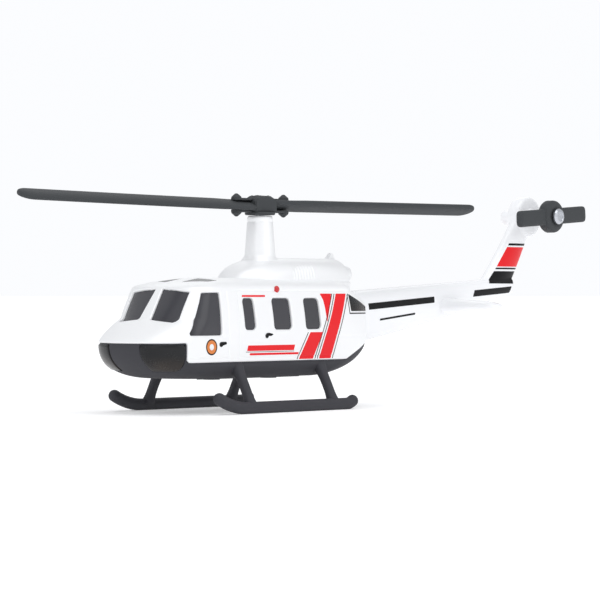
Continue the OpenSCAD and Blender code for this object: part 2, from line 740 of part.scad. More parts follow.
module rotor_hub() {
    chamfer = 0.8;
    block_z = hub_z + hub_plate_t;
    color(black) on_rotor() difference() {
        union() {
            translate([0, 0, hub_z]) cylinder(d = hub_plate_d, h = hub_plate_t);
            rotate([90, 0, 0]) linear_extrude(hub_l, center = true) polygon([
                [-hub_w/2, block_z], [hub_w/2, block_z], [hub_w/2, hub_top_z - chamfer],
                [hub_w/2 - chamfer, hub_top_z], [chamfer - hub_w/2, hub_top_z], [-hub_w/2, hub_top_z - chamfer]]);
            for (z = [rotor_z - blade_t/2 - grip_gap - grip_t, rotor_z + blade_t/2 + grip_gap])
                translate([0, 0, z + grip_t/2]) cube([grip_w, 2*grip_reach, grip_t], center = true);
        }
        translate([0, 0, hub_z - 1]) cylinder(d = pin_d + 2*run_gap, h = hub_top_z - hub_z + 2);
        translate([0, 0, hub_top_z - head_sink]) cylinder(d = pin_head_d + 4*run_gap, h = head_sink + 1);
        for (way = [-1, 1]) translate([0, way*bolt_reach, rotor_z]) cylinder(d = bolt_d, h = 2*hub_h, center = true);
    }
}

// Blade section at radius r: a lens set at the pitch, drawn in to a round end
function blade_section(r, rise) =
    let (back = max(0, r - (rotor_r - blade_c/2)),
         c = max(0.25, sqrt(max(0, blade_c*blade_c/4 - back*back))),
         t = blade_t*mix(0.5, 1, c*2/blade_c)/2,
         p = blade_pitch, lift = rise*pow(r/rotor_r, 1.2))
    [for (i = [0:blade_sides - 1]) let (a = 360*i/blade_sides, x = signed_pow(cos(a), 0.8)*c, z = sin(a)*t)
        [x*cos(p) - z*sin(p), r, rotor_z + lift + x*sin(p) + z*cos(p)]];

module blade(way) {
    round_end = rotor_r - blade_c/2;
    radii = concat(
        [for (i = [0:8]) mix(hub_l/2, round_end, i/8)],
        [for (i = [1:6]) round_end + blade_c/2*sin(88*i/6)]);
    color(black) on_rotor() rotate([0, 0, way < 0 ? 180 : 0]) difference() {
        loft([for (r = radii) reverse(blade_section(r, blade_rise[way < 0 ? 0 : 1]))]);
        translate([0, bolt_reach, rotor_z]) cylinder(d = bolt_d, h = 2*hub_h, center = true);
    }
}
function reverse(ring) = [for (i = [len(ring) - 1:-1:0]) ring[i]];
module blade_front() blade(-1);
module blade_rear() blade(1);

module blade_bolts() {
    stack = blade_t/2 + grip_gap + grip_t;
    color(black) on_rotor() for (way = [-1, 1]) translate([0, way*bolt_reach, rotor_z]) {
        cylinder(d = bolt_d, h = 2*stack, center = true);
        for (flip = [0, 1]) mirror([0, 0, flip]) translate([0, 0, stack])
            cylinder(d1 = nut_d[0], d2 = nut_d[1], h = nut_t);
    }
}

module tail_rotor_pin() {
    head_x = tail_hub_x + tail_hub_t + end_gap;
    foot = port_boss + 1 - tail_pin_depth;
    color(steel) place() translate([0, tail_axis_y, tail_axis_z]) rotate([0, 90, 0]) {
        translate([0, 0, foot]) cylinder(d = tail_pin_d, h = head_x - foot + lap);
        translate([0, 0, head_x]) cylinder(d1 = tail_head_d, d2 = tail_head_d - 0.4, h = tail_head_t);
    }
}

module tail_rotor() {
    corner = 1;
    color(black) place() translate([tail_hub_x, tail_axis_y, tail_axis_z]) rotate([tail_tilt, 0, 0]) difference() {
        union() {
            rotate([0, 90, 0]) cylinder(d = tail_hub_d, h = tail_hub_t);
            rotate([90, 0, 90]) translate([0, 0, (tail_hub_t - tail_blade_t)/2]) linear_extrude(tail_blade_t)
                offset(r = corner) square([2*(tail_r - corner), tail_blade_w - 2*corner], center = true);
        }
        translate([-1, 0, 0]) rotate([0, 90, 0]) cylinder(d = tail_pin_d + 2*run_gap, h = tail_hub_t + 2);
    }
}

cabin_shell();
window_insert();
belly_base();
chin_window_port();
chin_window_starboard();
front_post();
rear_post();
front_rivet();
rear_rivet();
nav_light_port();
nav_light_starboard();
engine_cowling();
exhaust_pipe();
beacon();
tail_boom();
stabiliser_port();
stabiliser_starboard();
skid_port();
skid_starboard();
strut_front_port();
strut_front_starboard();
strut_rear_port();
strut_rear_starboard();
main_rotor_pin();
rotor_hub();
blade_front();
blade_rear();
blade_bolts();
tail_rotor_pin();
tail_rotor();
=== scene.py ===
"""Looks of a small utility helicopter model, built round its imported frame.

Shapes are worked out in millimetres from the main rotor's axis, nose towards -Y and port side towards +X,
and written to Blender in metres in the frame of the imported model.
"""

import logging
import math
from dataclasses import dataclass, field
from enum import Enum
from typing import Callable, Iterable, Sequence

import bmesh
import bpy
import numpy as np
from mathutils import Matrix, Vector
from mathutils.bvhtree import BVHTree


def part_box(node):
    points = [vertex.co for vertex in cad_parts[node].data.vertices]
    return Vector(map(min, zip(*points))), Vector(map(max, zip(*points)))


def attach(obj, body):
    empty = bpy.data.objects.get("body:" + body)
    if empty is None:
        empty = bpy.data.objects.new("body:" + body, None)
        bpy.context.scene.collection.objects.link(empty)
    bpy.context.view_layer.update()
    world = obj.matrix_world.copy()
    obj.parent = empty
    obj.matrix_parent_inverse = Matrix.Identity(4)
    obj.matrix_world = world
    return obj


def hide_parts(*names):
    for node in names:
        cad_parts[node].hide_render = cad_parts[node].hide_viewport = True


logging.basicConfig(level=logging.INFO, format="%(message)s")
log = logging.getLogger("helicopter")

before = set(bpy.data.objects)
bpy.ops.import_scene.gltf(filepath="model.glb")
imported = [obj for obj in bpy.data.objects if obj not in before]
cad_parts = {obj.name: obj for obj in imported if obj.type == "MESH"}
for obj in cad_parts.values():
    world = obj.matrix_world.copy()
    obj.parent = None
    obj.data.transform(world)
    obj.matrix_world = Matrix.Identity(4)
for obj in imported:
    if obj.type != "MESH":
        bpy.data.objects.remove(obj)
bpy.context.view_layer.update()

Array = np.ndarray
Field = Callable[[Array], Array]
MM = 0.001
_PIN_LOW, _PIN_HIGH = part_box("main_rotor_pin")
AXIS_Y = (_PIN_LOW.y + _PIN_HIGH.y)/2/MM


class Body(Enum):
    """The rigid bodies that pieces ride on."""

    AIRFRAME = "airframe"
    MAIN_ROTOR = "main_rotor"
    TAIL_ROTOR = "tail_rotor"


# ---------------------------------------------------------------- small sums


def mix(a: float | Array, b: float | Array, t: float | Array) -> float | Array:
    """The value a share t of the way from a to b."""
    return a + (b - a)*t


def part_way(a: float, b: float, v: float | Array) -> Array:
    """How far v is from a to b, held between 0 and 1."""
    return np.clip((np.asarray(v, float) - a)/(b - a), 0, 1)


def swell(t: float | Array, n: float) -> Array:
    """One quarter of a superellipse: 1 where t is 0, and 0 where t is 1."""
    return np.maximum(0, 1 - np.clip(t, 0, 1)**n)**(1/n)


def bump(v: Array, middle: float, width: float) -> Array:
    """A smooth hump of height 1 and about that half width."""
    return np.exp(-((v - middle)/width)**2)


def arc(angles: Array, power: float) -> tuple[Array, Array]:
    """Points of a superellipse of radius 1 in the directions of some angles.

    Args:
        angles: directions in radians, from 0 at the first axis.
        power: 2 gives a circle and more gives squarer corners.

    Returns:
        The two coordinates of each point.
    """
    c, s = np.cos(angles), np.sin(angles)
    r = (np.abs(c)**power + np.abs(s)**power)**(-1/power)
    return c*r, s*r


def polygon_distance(x: Array, y: Array, corners: Sequence[tuple[float, float]], radius: float = 0) -> Array:
    """Distance to a polygon with round corners, less than 0 inside it.

    Args:
        x: first coordinate of the points.
        y: second coordinate of the points.
        corners: the polygon's corners before rounding, each already drawn in by the radius.
        radius: how far the outline stands outside the corners.

    Returns:
        The signed distance of each point.
    """
    best = np.full(np.shape(x), np.inf)
    inside = np.zeros(np.shape(x), bool)
    for (ax, ay), (bx, by) in zip(corners, list(corners[1:]) + [corners[0]]):
        ex, ey = bx - ax, by - ay
        t = np.clip(((x - ax)*ex + (y - ay)*ey)/(ex*ex + ey*ey), 0, 1)
        best = np.minimum(best, np.hypot(x - ax - ex*t, y - ay - ey*t))
        if ey:
            inside ^= ((ay > y) != (by > y)) & (x < ax + (y - ay)*ex/ey)
    return np.where(inside, -best, best) - radius


# ---------------------------------------------------------------- meshes


@dataclass
class Mesh:
    """Points in millimetres and the faces that join them."""

    points: Array
    faces: list[tuple[int, ...]]

    def joined(self, other: "Mesh") -> "Mesh":
        """This mesh and another as one."""
        n = len(self.points)
        return Mesh(np.vstack([self.points, other.points]),
                    self.faces + [tuple(i + n for i in f) for f in other.faces])

    def mirrored(self) -> "Mesh":
        """The same mesh on the other side of the model."""
        return Mesh(self.points*np.array([-1, 1, 1]), [tuple(reversed(f)) for f in self.faces])

    def turned(self, degrees: float) -> "Mesh":
        """The mesh turned about the main rotor's axis."""
        a = math.radians(degrees)
        c, s = math.cos(a), math.sin(a)
        x, y, z = self.points.T
        return Mesh(np.stack([c*x - s*y, s*x + c*y, z], 1), self.faces)


@dataclass
class Grid:
    """A sheet of points in rows and columns, with the way out of it at each.

    Attributes:
        points: rows by columns by 3, in millimetres.
        wrap: whether the last column joins the first.
        caps: which of the foot and the top are closed across the model's middle.
    """

    points: Array
    wrap: bool = False
    caps: tuple[bool, bool] = (False, False)
    outward: Array = field(init=False)

    def __post_init__(self) -> None:
        """Works out the way out of the sheet."""
        p = self.points
        if self.wrap:
            along = np.roll(p, -1, 1) - np.roll(p, 1, 1)
        else:
            along = np.gradient(p, axis=1)
        up = np.gradient(p, axis=0)
        n = np.cross(along, up)
        self.outward = n/np.maximum(np.linalg.norm(n, axis=2, keepdims=True), 1e-9)

    def raised(self, relief: Callable[[Array, Array], Array]) -> "Grid":
        """The sheet moved outwards by a relief.

        Args:
            relief: gives the height in millimetres from the points and the ways out.

        Returns:
            A new sheet.
        """
        return Grid(self.points + self.outward*relief(self.points, self.outward)[..., None], self.wrap,
                    self.caps)

    def quads(self) -> Array:
        """The four corners of each face, counted row by row."""
        rows, cols = self.points.shape[:2]
        r, c = np.meshgrid(np.arange(rows - 1), np.arange(cols if self.wrap else cols - 1), indexing="ij")
        r, c = r.ravel(), c.ravel()
        d = (c + 1) % cols
        faces = [np.stack([r*cols + c, r*cols + d, (r + 1)*cols + d, (r + 1)*cols + c], 1)]
        i = np.arange(cols//2)
        j, k = (cols - i) % cols, cols - i - 1
        if self.caps[1]:
            top = (rows - 1)*cols
            faces.append(np.stack([i, i + 1, k, j], 1) + top)
        if self.caps[0]:
            faces.append(np.stack([j, k, i + 1, i], 1))
        return np.vstack(faces)

    def cut(self, kept: Field | None, thick: float, lip: float = 0, lift: float = 0) -> Mesh:
        """A plate of the sheet with clean, rounded edges.

        Args:
            kept: distance that is more than 0 where the plate is; None keeps all of it.
            thick: thickness of the plate, inwards.
            lip: radius of the rounded edge, which stands out past the line where kept is 0.
            lift: how far the plate's outside stands off the sheet.

        Returns:
            A closed mesh.
        """
        points, out = self.points.reshape(-1, 3).copy(), self.outward.reshape(-1, 3)
        away = np.zeros_like(points)
        quads = self.quads()
        d = np.ones(len(points)) if kept is None else kept(points)
        edges = np.vstack([quads[:, [0, 1]], quads[:, [1, 2]], quads[:, [2, 3]], quads[:, [3, 0]]])
        crossing = edges[(d[edges[:, 0]]*d[edges[:, 1]]) < 0]
        if len(crossing):
            near = np.abs(d[crossing]).argmin(1)
            moved = np.unique(crossing[np.arange(len(crossing)), near])
            points[moved], away[moved] = _on_edge(points[moved], out[moved], kept)
            d[moved] = 0
        corner = d[quads]
        whole = (corner >= 0).all(1) & (corner > 0).any(1)
        level = (corner == 0).all(1)
        if level.any():
            whole[level] = kept(points[quads[level]].mean(1)) > 0
        faces = [tuple(f) for f in quads[whole]]
        for f in quads[(corner > 0).any(1) & (corner < 0).any(1)]:
            for i in range(4):
                three = (f[i - 1], f[i], f[(i + 1) % 4])
                if d[f[i]] > 0 and d[three[0]] >= 0 and d[three[2]] >= 0:
                    faces.append(three)
        return _thickened(points + out*lift, out, away, faces, thick, lip)


def _on_edge(p: Array, out: Array, kept: Field) -> tuple[Array, Array]:
    """Moves points within their sheet to where a distance is 0.

    Args:
        p: the points.
        out: the way out of the sheet at each.
        kept: the distance.

    Returns:
        The moved points, and the way from each towards what is cut away.
    """
    other = np.where(np.abs(out[:, 2:3]) < 0.8, [[0, 0, 1.0]], [[1.0, 0, 0]])
    a = np.cross(other, out)
    a /= np.linalg.norm(a, axis=1, keepdims=True)
    b = np.cross(out, a)
    step = 0.01
    slope = np.zeros_like(p)
    for _ in range(4):
        ga = (kept(p + a*step) - kept(p - a*step))/(2*step)
        gb = (kept(p + b*step) - kept(p - b*step))/(2*step)
        slope = ga[:, None]*a + gb[:, None]*b
        steep = np.maximum((slope**2).sum(1), 0.05)
        p = p - slope*np.clip(kept(p)/steep, -0.3, 0.3)[:, None]
    return p, -slope/np.maximum(np.linalg.norm(slope, axis=1, keepdims=True), 1e-6)


def _thickened(points: Array, out: Array, away: Array, faces: list, thick: float, lip: float) -> Mesh:
    """A sheet of faces made into a closed plate.

    Args:
        points: the sheet's points.
        out: the way out of the sheet at each.
        away: the way past the plate's edge, at points on a cut edge, and 0 elsewhere.
        faces: the sheet's faces.
        thick: thickness of the plate.
        lip: radius of the rounded edge.

    Returns:
        The closed mesh, without unused points.
    """
    n = len(points)
    seen: dict[tuple[int, int], int] = {}
    for f in faces:
        for a, b in zip(f, f[1:] + f[:1]):
            seen[(a, b)] = seen.get((a, b), 0) + 1
    rim = [e for e in seen if (e[1], e[0]) not in seen]
    edge = sorted({v for e in rim for v in e})
    place = {v: i for i, v in enumerate(edge)}
    inner = points + away*lip - out*thick
    stack = [points, inner]
    outside = [tuple(int(i) for i in f) for f in faces]
    inside = [tuple(int(i) + n for i in reversed(f)) for f in faces]
    all_faces = outside + inside
    turns = [math.pi/2*k/3 for k in (1, 2, 3)] if lip else []
    for t in turns:
        ring = points[edge] + away[edge]*lip*math.sin(t) - out[edge]*lip*(1 - math.cos(t))
        stack.append(ring)
    for a, b in rim:
        levels = [(a, b)]
        levels += [(2*n + k*len(edge) + place[a], 2*n + k*len(edge) + place[b]) for k in range(len(turns))]
        levels += [(a + n, b + n)]
        for (p, q), (s, t) in zip(levels, levels[1:]):
            all_faces.append((int(q), int(p), int(s), int(t)))
    every = np.vstack(stack)
    used = np.unique(np.fromiter((i for f in all_faces for i in f), int))
    renumber = np.full(len(every), -1)
    renumber[used] = np.arange(len(used))
    return Mesh(every[used], [tuple(int(renumber[i]) for i in f) for f in all_faces])


def loft(rings: Array) -> Mesh:
    """A closed solid through rings of points, with its ends closed.

    Args:
        rings: rings by points by 3, each ring turning counterclockwise seen from the last ring.

    Returns:
        The mesh.
    """
    n, m = rings.shape[:2]
    faces = [(r*m + i, r*m + (i + 1) % m, (r + 1)*m + (i + 1) % m, (r + 1)*m + i)
             for r in range(n - 1) for i in range(m)]
    faces += [tuple(range(m - 1, -1, -1)), tuple((n - 1)*m + i for i in range(m))]
    return Mesh(rings.reshape(-1, 3), faces)


def lathe(profile: Sequence[tuple[float, float]], centre: Sequence[float], axis: str,
          steps: int = 72) -> Mesh:
    """A turned solid.

    Args:
        profile: (radius, place along the axis) from one end to the other.
        centre: where the axis' 0 is.
        axis: "X", "Y" or "Z".
        steps: faces round the axis.

    Returns:
        A closed mesh.
    """
    a = np.linspace(0, 2*math.pi, steps, endpoint=False)
    rings = np.array([[(r*math.cos(t), r*math.sin(t), h) for t in a] for r, h in profile])
    order = {"X": [2, 0, 1], "Y": [1, 2, 0], "Z": [0, 1, 2]}[axis]
    return loft(rings[..., order] + np.asarray(centre, float))


def tube(path: Array, across: Array, up: Array, size: Array, power: float = 2, steps: int = 32) -> Mesh:
    """A solid swept along a path.

    Args:
        path: points along the middle.
        across: the first way across at each point.
        up: the second way across at each point.
        size: half sizes along the two ways at each point.
        power: roundness of the section; 2 is an ellipse.
        steps: faces round the section.

    Returns:
        A closed mesh.
    """
    c, s = arc(np.linspace(0, 2*math.pi, steps, endpoint=False), power)
    sideways = across[:, None]*(c[None, :, None]*size[:, None, :1])
    upwards = up[:, None]*(s[None, :, None]*size[:, None, 1:])
    rings = path[:, None] + sideways + upwards
    return loft(rings)


def bevelled_hull(corners: Iterable[Sequence[float]], width: float, segments: int = 3) -> Mesh:
    """The block that some corners span, with its edges rounded.

    Args:
        corners: points in millimetres.
        width: width of the rounding.
        segments: faces across each rounding.

    Returns:
        The mesh.
    """
    bm = bmesh.new()
    for c in corners:
        bm.verts.new(c)
    bmesh.ops.convex_hull(bm, input=bm.verts)
    bmesh.ops.dissolve_limit(bm, angle_limit=0.02, verts=bm.verts, edges=bm.edges)
    bmesh.ops.bevel(bm, geom=list(bm.edges), offset=width, segments=segments, affect="EDGES",
                    clamp_overlap=True)
    bmesh.ops.recalc_face_normals(bm, faces=bm.faces)
    bm.verts.index_update()
    mesh = Mesh(np.array([v.co[:] for v in bm.verts]), [tuple(v.index for v in f.verts) for f in bm.faces])
    bm.free()
    return mesh


def add_piece(name: str, mesh: Mesh, finish: "Finish", body: Body, replaces: Sequence[str] = (),
              sharp: float = 50) -> bpy.types.Object:
    """Writes a mesh to the scene as a piece of the model.

    Args:
        name: the piece's name.
        mesh: its shape, in millimetres from the main rotor's axis.
        finish: what it is painted or moulded in.
        body: the body it rides on.
        replaces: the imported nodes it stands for.
        sharp: edges that turn more than this many degrees stay crisp.

    Returns:
        The object.
    """
    data = bpy.data.meshes.new(name)
    data.from_pydata((mesh.points + [0, AXIS_Y, 0])*MM, [], mesh.faces)
    data.validate()
    bm = bmesh.new()
    bm.from_mesh(data)
    bmesh.ops.dissolve_degenerate(bm, dist=1e-7, edges=bm.edges)
    bm.to_mesh(data)
    bm.free()
    data.polygons.foreach_set("use_smooth", [True]*len(data.polygons))
    data.set_sharp_from_angle(angle=math.radians(sharp))
    obj = bpy.data.objects.new(name, data)
    bpy.context.scene.collection.objects.link(obj)
    data.materials.append(finish.material())
    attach(obj, body.value)
    if replaces:
        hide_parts(*replaces)
    log.info("%s: %d faces", name, len(data.polygons))
    return obj


def applied(mesh: Mesh, *modifiers: tuple[str, dict]) -> Mesh:
    """The mesh that some modifiers make of another.

    Args:
        mesh: the shape to start from.
        modifiers: each modifier's type and its settings, lengths in millimetres.

    Returns:
        The new mesh.
    """
    data = bpy.data.meshes.new("workpiece")
    data.from_pydata(mesh.points, [], mesh.faces)
    obj = bpy.data.objects.new("workpiece", data)
    bpy.context.scene.collection.objects.link(obj)
    for kind, settings in modifiers:
        modifier = obj.modifiers.new(kind.lower(), kind)
        for name, value in settings.items():
            setattr(modifier, name, value)
    done = obj.evaluated_get(bpy.context.evaluated_depsgraph_get()).to_mesh()
    result = Mesh(np.array([v.co[:] for v in done.vertices]), [tuple(p.vertices) for p in done.polygons])
    bpy.data.objects.remove(obj)
    return result


def drilled(mesh: Mesh, drill: Mesh) -> Mesh:
    """A mesh with another cut out of it."""
    data = bpy.data.meshes.new("drill")
    data.from_pydata(drill.points, [], drill.faces)
    tool = bpy.data.objects.new("drill", data)
    bpy.context.scene.collection.objects.link(tool)
    result = applied(mesh, ("BOOLEAN", {"object": tool, "operation": "DIFFERENCE", "solver": "EXACT"}))
    bpy.data.objects.remove(tool)
    return result


def fused(mesh: Mesh, voxel: float, rounds: int) -> Mesh:
    """Overlapping solids melted into one casting with soft inner corners.

    Args:
        mesh: the solids.
        voxel: size of the finest detail kept, in millimetres.
        rounds: how often the surface is smoothed.

    Returns:
        The casting.
    """
    return applied(mesh, ("REMESH", {"mode": "VOXEL", "voxel_size": voxel}),
                   ("SMOOTH", {"factor": 0.5, "iterations": rounds}))


# ---------------------------------------------------------------- finishes


class Wiring:
    """Adds nodes to a tree and joins them."""

    def __init__(self, tree: bpy.types.NodeTree) -> None:
        """Starts on a tree."""
        self.tree = tree

    def node(self, kind: str, inputs: dict | None = None, **settings: object) -> bpy.types.Node:
        """Adds a node.

        Args:
            kind: Blender's name for the node's type.
            inputs: values or sockets for its inputs, by name or number.
            settings: its own settings.

        Returns:
            The node.
        """
        node = self.tree.nodes.new(kind)
        for name, value in settings.items():
            setattr(node, name, value)
        for name, value in (inputs or {}).items():
            if isinstance(value, bpy.types.NodeSocket):
                self.tree.links.new(value, node.inputs[name])
            else:
                node.inputs[name].default_value = value
        return node

    def maths(self, operation: str, *values: object, clamp: bool = False) -> bpy.types.NodeSocket:
        """The result of a sum on values or sockets."""
        node = self.node("ShaderNodeMath", dict(enumerate(values)), operation=operation, use_clamp=clamp)
        return node.outputs[0]

    def between(self, value: object, low: float, high: float, to_low: float = 0,
                to_high: float = 1) -> bpy.types.NodeSocket:
        """A value spread from one range to another, held inside it."""
        return self.node("ShaderNodeMapRange", {"Value": value, "From Min": low, "From Max": high,
                                                "To Min": to_low, "To Max": to_high}).outputs[0]

    def blend(self, amount: object, first: object, second: object) -> bpy.types.NodeSocket:
        """Two colours mixed by an amount."""
        node = self.node("ShaderNodeMix", data_type="RGBA")
        for socket, value in zip((node.inputs[0], node.inputs[6], node.inputs[7]), (amount, first, second)):
            if isinstance(value, bpy.types.NodeSocket):
                self.tree.links.new(value, socket)
            elif socket.type == "RGBA":
                socket.default_value = (*value, 1)
            else:
                socket.default_value = value
        return node.outputs[2]


class Effect(Enum):
    """Surface effects that several finishes share; each is one node group."""

    DRIFT = "slow_drift"
    PEEL = "flow_and_peel"
    GRAIN = "moulded_grain"
    DUST = "settled_dust"
    SCUFFS = "handling_scuffs"
    TURNING = "turning_marks"


def _group(effect: Effect, inputs: dict[str, float],
           outputs: Sequence[str]) -> tuple[Wiring, dict, bpy.types.Node]:
    """Starts a node group.

    Args:
        effect: which effect it is.
        inputs: names and usual values of its inputs.
        outputs: names of its outputs.

    Returns:
        The group's wiring, its inputs inside by name, and its output node.
    """
    tree = bpy.data.node_groups.new(effect.value, "ShaderNodeTree")
    for name, value in inputs.items():
        tree.interface.new_socket(name, in_out="INPUT", socket_type="NodeSocketFloat").default_value = value
    for name in outputs:
        tree.interface.new_socket(name, in_out="OUTPUT", socket_type="NodeSocketFloat")
    wires = Wiring(tree)
    start, end = wires.node("NodeGroupInput"), wires.node("NodeGroupOutput")
    return wires, {name: start.outputs[name] for name in inputs}, end


def _noise(wires: Wiring, scale: object, detail: float = 2, roughness: float = 0.5,
           stretch: Sequence[float] = (1, 1, 1)) -> bpy.types.NodeSocket:
    """Noise in the piece's own space.

    Args:
        wires: the tree.
        scale: features to the metre.
        detail: how many finer layers it has.
        roughness: how strong the finer layers are.
        stretch: scale along each axis.

    Returns:
        A socket from 0 to 1.
    """
    place = wires.node("ShaderNodeTexCoord").outputs["Object"]
    if tuple(stretch) != (1, 1, 1):
        place = wires.node("ShaderNodeMapping", {"Vector": place, "Scale": stretch}).outputs[0]
    return wires.node("ShaderNodeTexNoise",
                      {"Vector": place, "Scale": scale, "Detail": detail, "Roughness": roughness}).outputs[0]


def _make_drift() -> bpy.types.NodeTree:
    """Slow changes of tone across a piece."""
    wires, given, end = _group(Effect.DRIFT, {"Scale": 60.0, "Contrast": 1.0}, ["Mask"])
    spread = wires.maths("SUBTRACT", _noise(wires, given["Scale"], 3, 0.55), 0.5)
    mask = wires.maths("ADD", wires.maths("MULTIPLY", spread, given["Contrast"]), 0.5, clamp=True)
    wires.tree.links.new(mask, end.inputs["Mask"])
    return wires.tree


def _make_peel() -> bpy.types.NodeTree:
    """The soft waves and fine specks of sprayed enamel."""
    wires, given, end = _group(Effect.PEEL, {"Scale": 1500.0, "Specks": 0.2}, ["Height", "Mask"])
    wave = _noise(wires, given["Scale"], 1, 0.4)
    fine = _noise(wires, wires.maths("MULTIPLY", given["Scale"], 5.0), 2, 0.6)
    speck = wires.maths("MULTIPLY", wires.between(fine, 0.68, 0.8), given["Specks"])
    wires.tree.links.new(wires.maths("ADD", wave, speck), end.inputs["Height"])
    wires.tree.links.new(wires.between(fine, 0.3, 0.7), end.inputs["Mask"])
    return wires.tree


def _make_grain() -> bpy.types.NodeTree:
    """The spark-eroded grain and faint flow lines of moulded plastic."""
    wires, given, end = _group(Effect.GRAIN, {"Scale": 5000.0, "Flow": 0.4}, ["Height", "Mask"])
    grain = _noise(wires, given["Scale"], 3, 0.65)
    flow = _noise(wires, wires.maths("MULTIPLY", given["Scale"], 0.08), 2, 0.5, (1, 0.25, 1))
    height = wires.maths("ADD", grain, wires.maths("MULTIPLY", flow, given["Flow"]))
    wires.tree.links.new(height, end.inputs["Height"])
    mask = wires.maths("MULTIPLY", wires.maths("ADD", grain, flow), 0.5)
    wires.tree.links.new(wires.between(mask, 0.35, 0.65), end.inputs["Mask"])
    return wires.tree


def _make_dust() -> bpy.types.NodeTree:
    """Fine dust, thicker where a surface faces up."""
    wires, given, end = _group(Effect.DUST, {"Scale": 900.0, "Amount": 0.1}, ["Mask"])
    facing = wires.node("ShaderNodeSeparateXYZ",
                        {0: wires.node("ShaderNodeNewGeometry").outputs["Normal"]}).outputs["Z"]
    specks = wires.between(_noise(wires, given["Scale"], 6, 0.7), 0.45, 0.75)
    lying = wires.between(facing, -0.2, 1.0, 0.25, 1)
    mask = wires.maths("MULTIPLY", wires.maths("MULTIPLY", specks, lying), given["Amount"], clamp=True)
    wires.tree.links.new(mask, end.inputs["Mask"])
    return wires.tree


def _make_scuffs() -> bpy.types.NodeTree:
    """Hair-thin rubs from handling, in two directions."""
    wires, given, end = _group(Effect.SCUFFS, {"Scale": 700.0, "Amount": 0.3}, ["Mask"])
    first = _noise(wires, given["Scale"], 2, 0.5, (1, 0.06, 1.7))
    second = _noise(wires, given["Scale"], 2, 0.5, (0.5, 1.6, 0.08))
    lines = wires.maths("MAXIMUM", wires.between(first, 0.62, 0.7), wires.between(second, 0.64, 0.72))
    where = wires.between(_noise(wires, 120.0, 1), 0.5, 0.7)
    mask = wires.maths("MULTIPLY", wires.maths("MULTIPLY", lines, where), given["Amount"], clamp=True)
    wires.tree.links.new(mask, end.inputs["Mask"])
    return wires.tree


def _make_turning() -> bpy.types.NodeTree:
    """Fine rings left by a lathe round a piece's middle."""
    wires, given, end = _group(Effect.TURNING,
                               {"Rings": 60.0, "Across X": 1.0, "Across Y": 1.0, "Across Z": 1.0}, ["Height"])
    place = wires.node("ShaderNodeTexCoord").outputs["Generated"]
    middle = wires.node("ShaderNodeVectorMath", {0: place, 1: (0.5, 0.5, 0.5)},
                        operation="SUBTRACT").outputs[0]
    keep = wires.node("ShaderNodeCombineXYZ", {axis: given[f"Across {axis}"] for axis in "XYZ"}).outputs[0]
    flat = wires.node("ShaderNodeVectorMath", {0: middle, 1: keep}, operation="MULTIPLY").outputs[0]
    reach = wires.node("ShaderNodeVectorMath", {0: flat}, operation="LENGTH").outputs["Value"]
    ring = wires.maths("SINE", wires.maths("MULTIPLY", reach, wires.maths("MULTIPLY", given["Rings"], 6.283)))
    wires.tree.links.new(wires.maths("ADD", ring, _noise(wires, 4000.0, 3)), end.inputs["Height"])
    return wires.tree


_MAKERS = {Effect.DRIFT: _make_drift, Effect.PEEL: _make_peel, Effect.GRAIN: _make_grain,
           Effect.DUST: _make_dust, Effect.SCUFFS: _make_scuffs, Effect.TURNING: _make_turning}


def effect_node(wires: Wiring, effect: Effect, **values: float) -> bpy.types.Node:
    """Places a shared effect in a material.

    Args:
        wires: the material's wiring.
        effect: which effect.
        values: its inputs, with _ for a space.

    Returns:
        The group node.
    """
    tree = bpy.data.node_groups.get(effect.value) or _MAKERS[effect]()
    node = wires.node("ShaderNodeGroup", node_tree=tree)
    for name, value in values.items():
        node.inputs[name.replace("_", " ")].default_value = value
    return node


Colour = tuple[float, float, float]


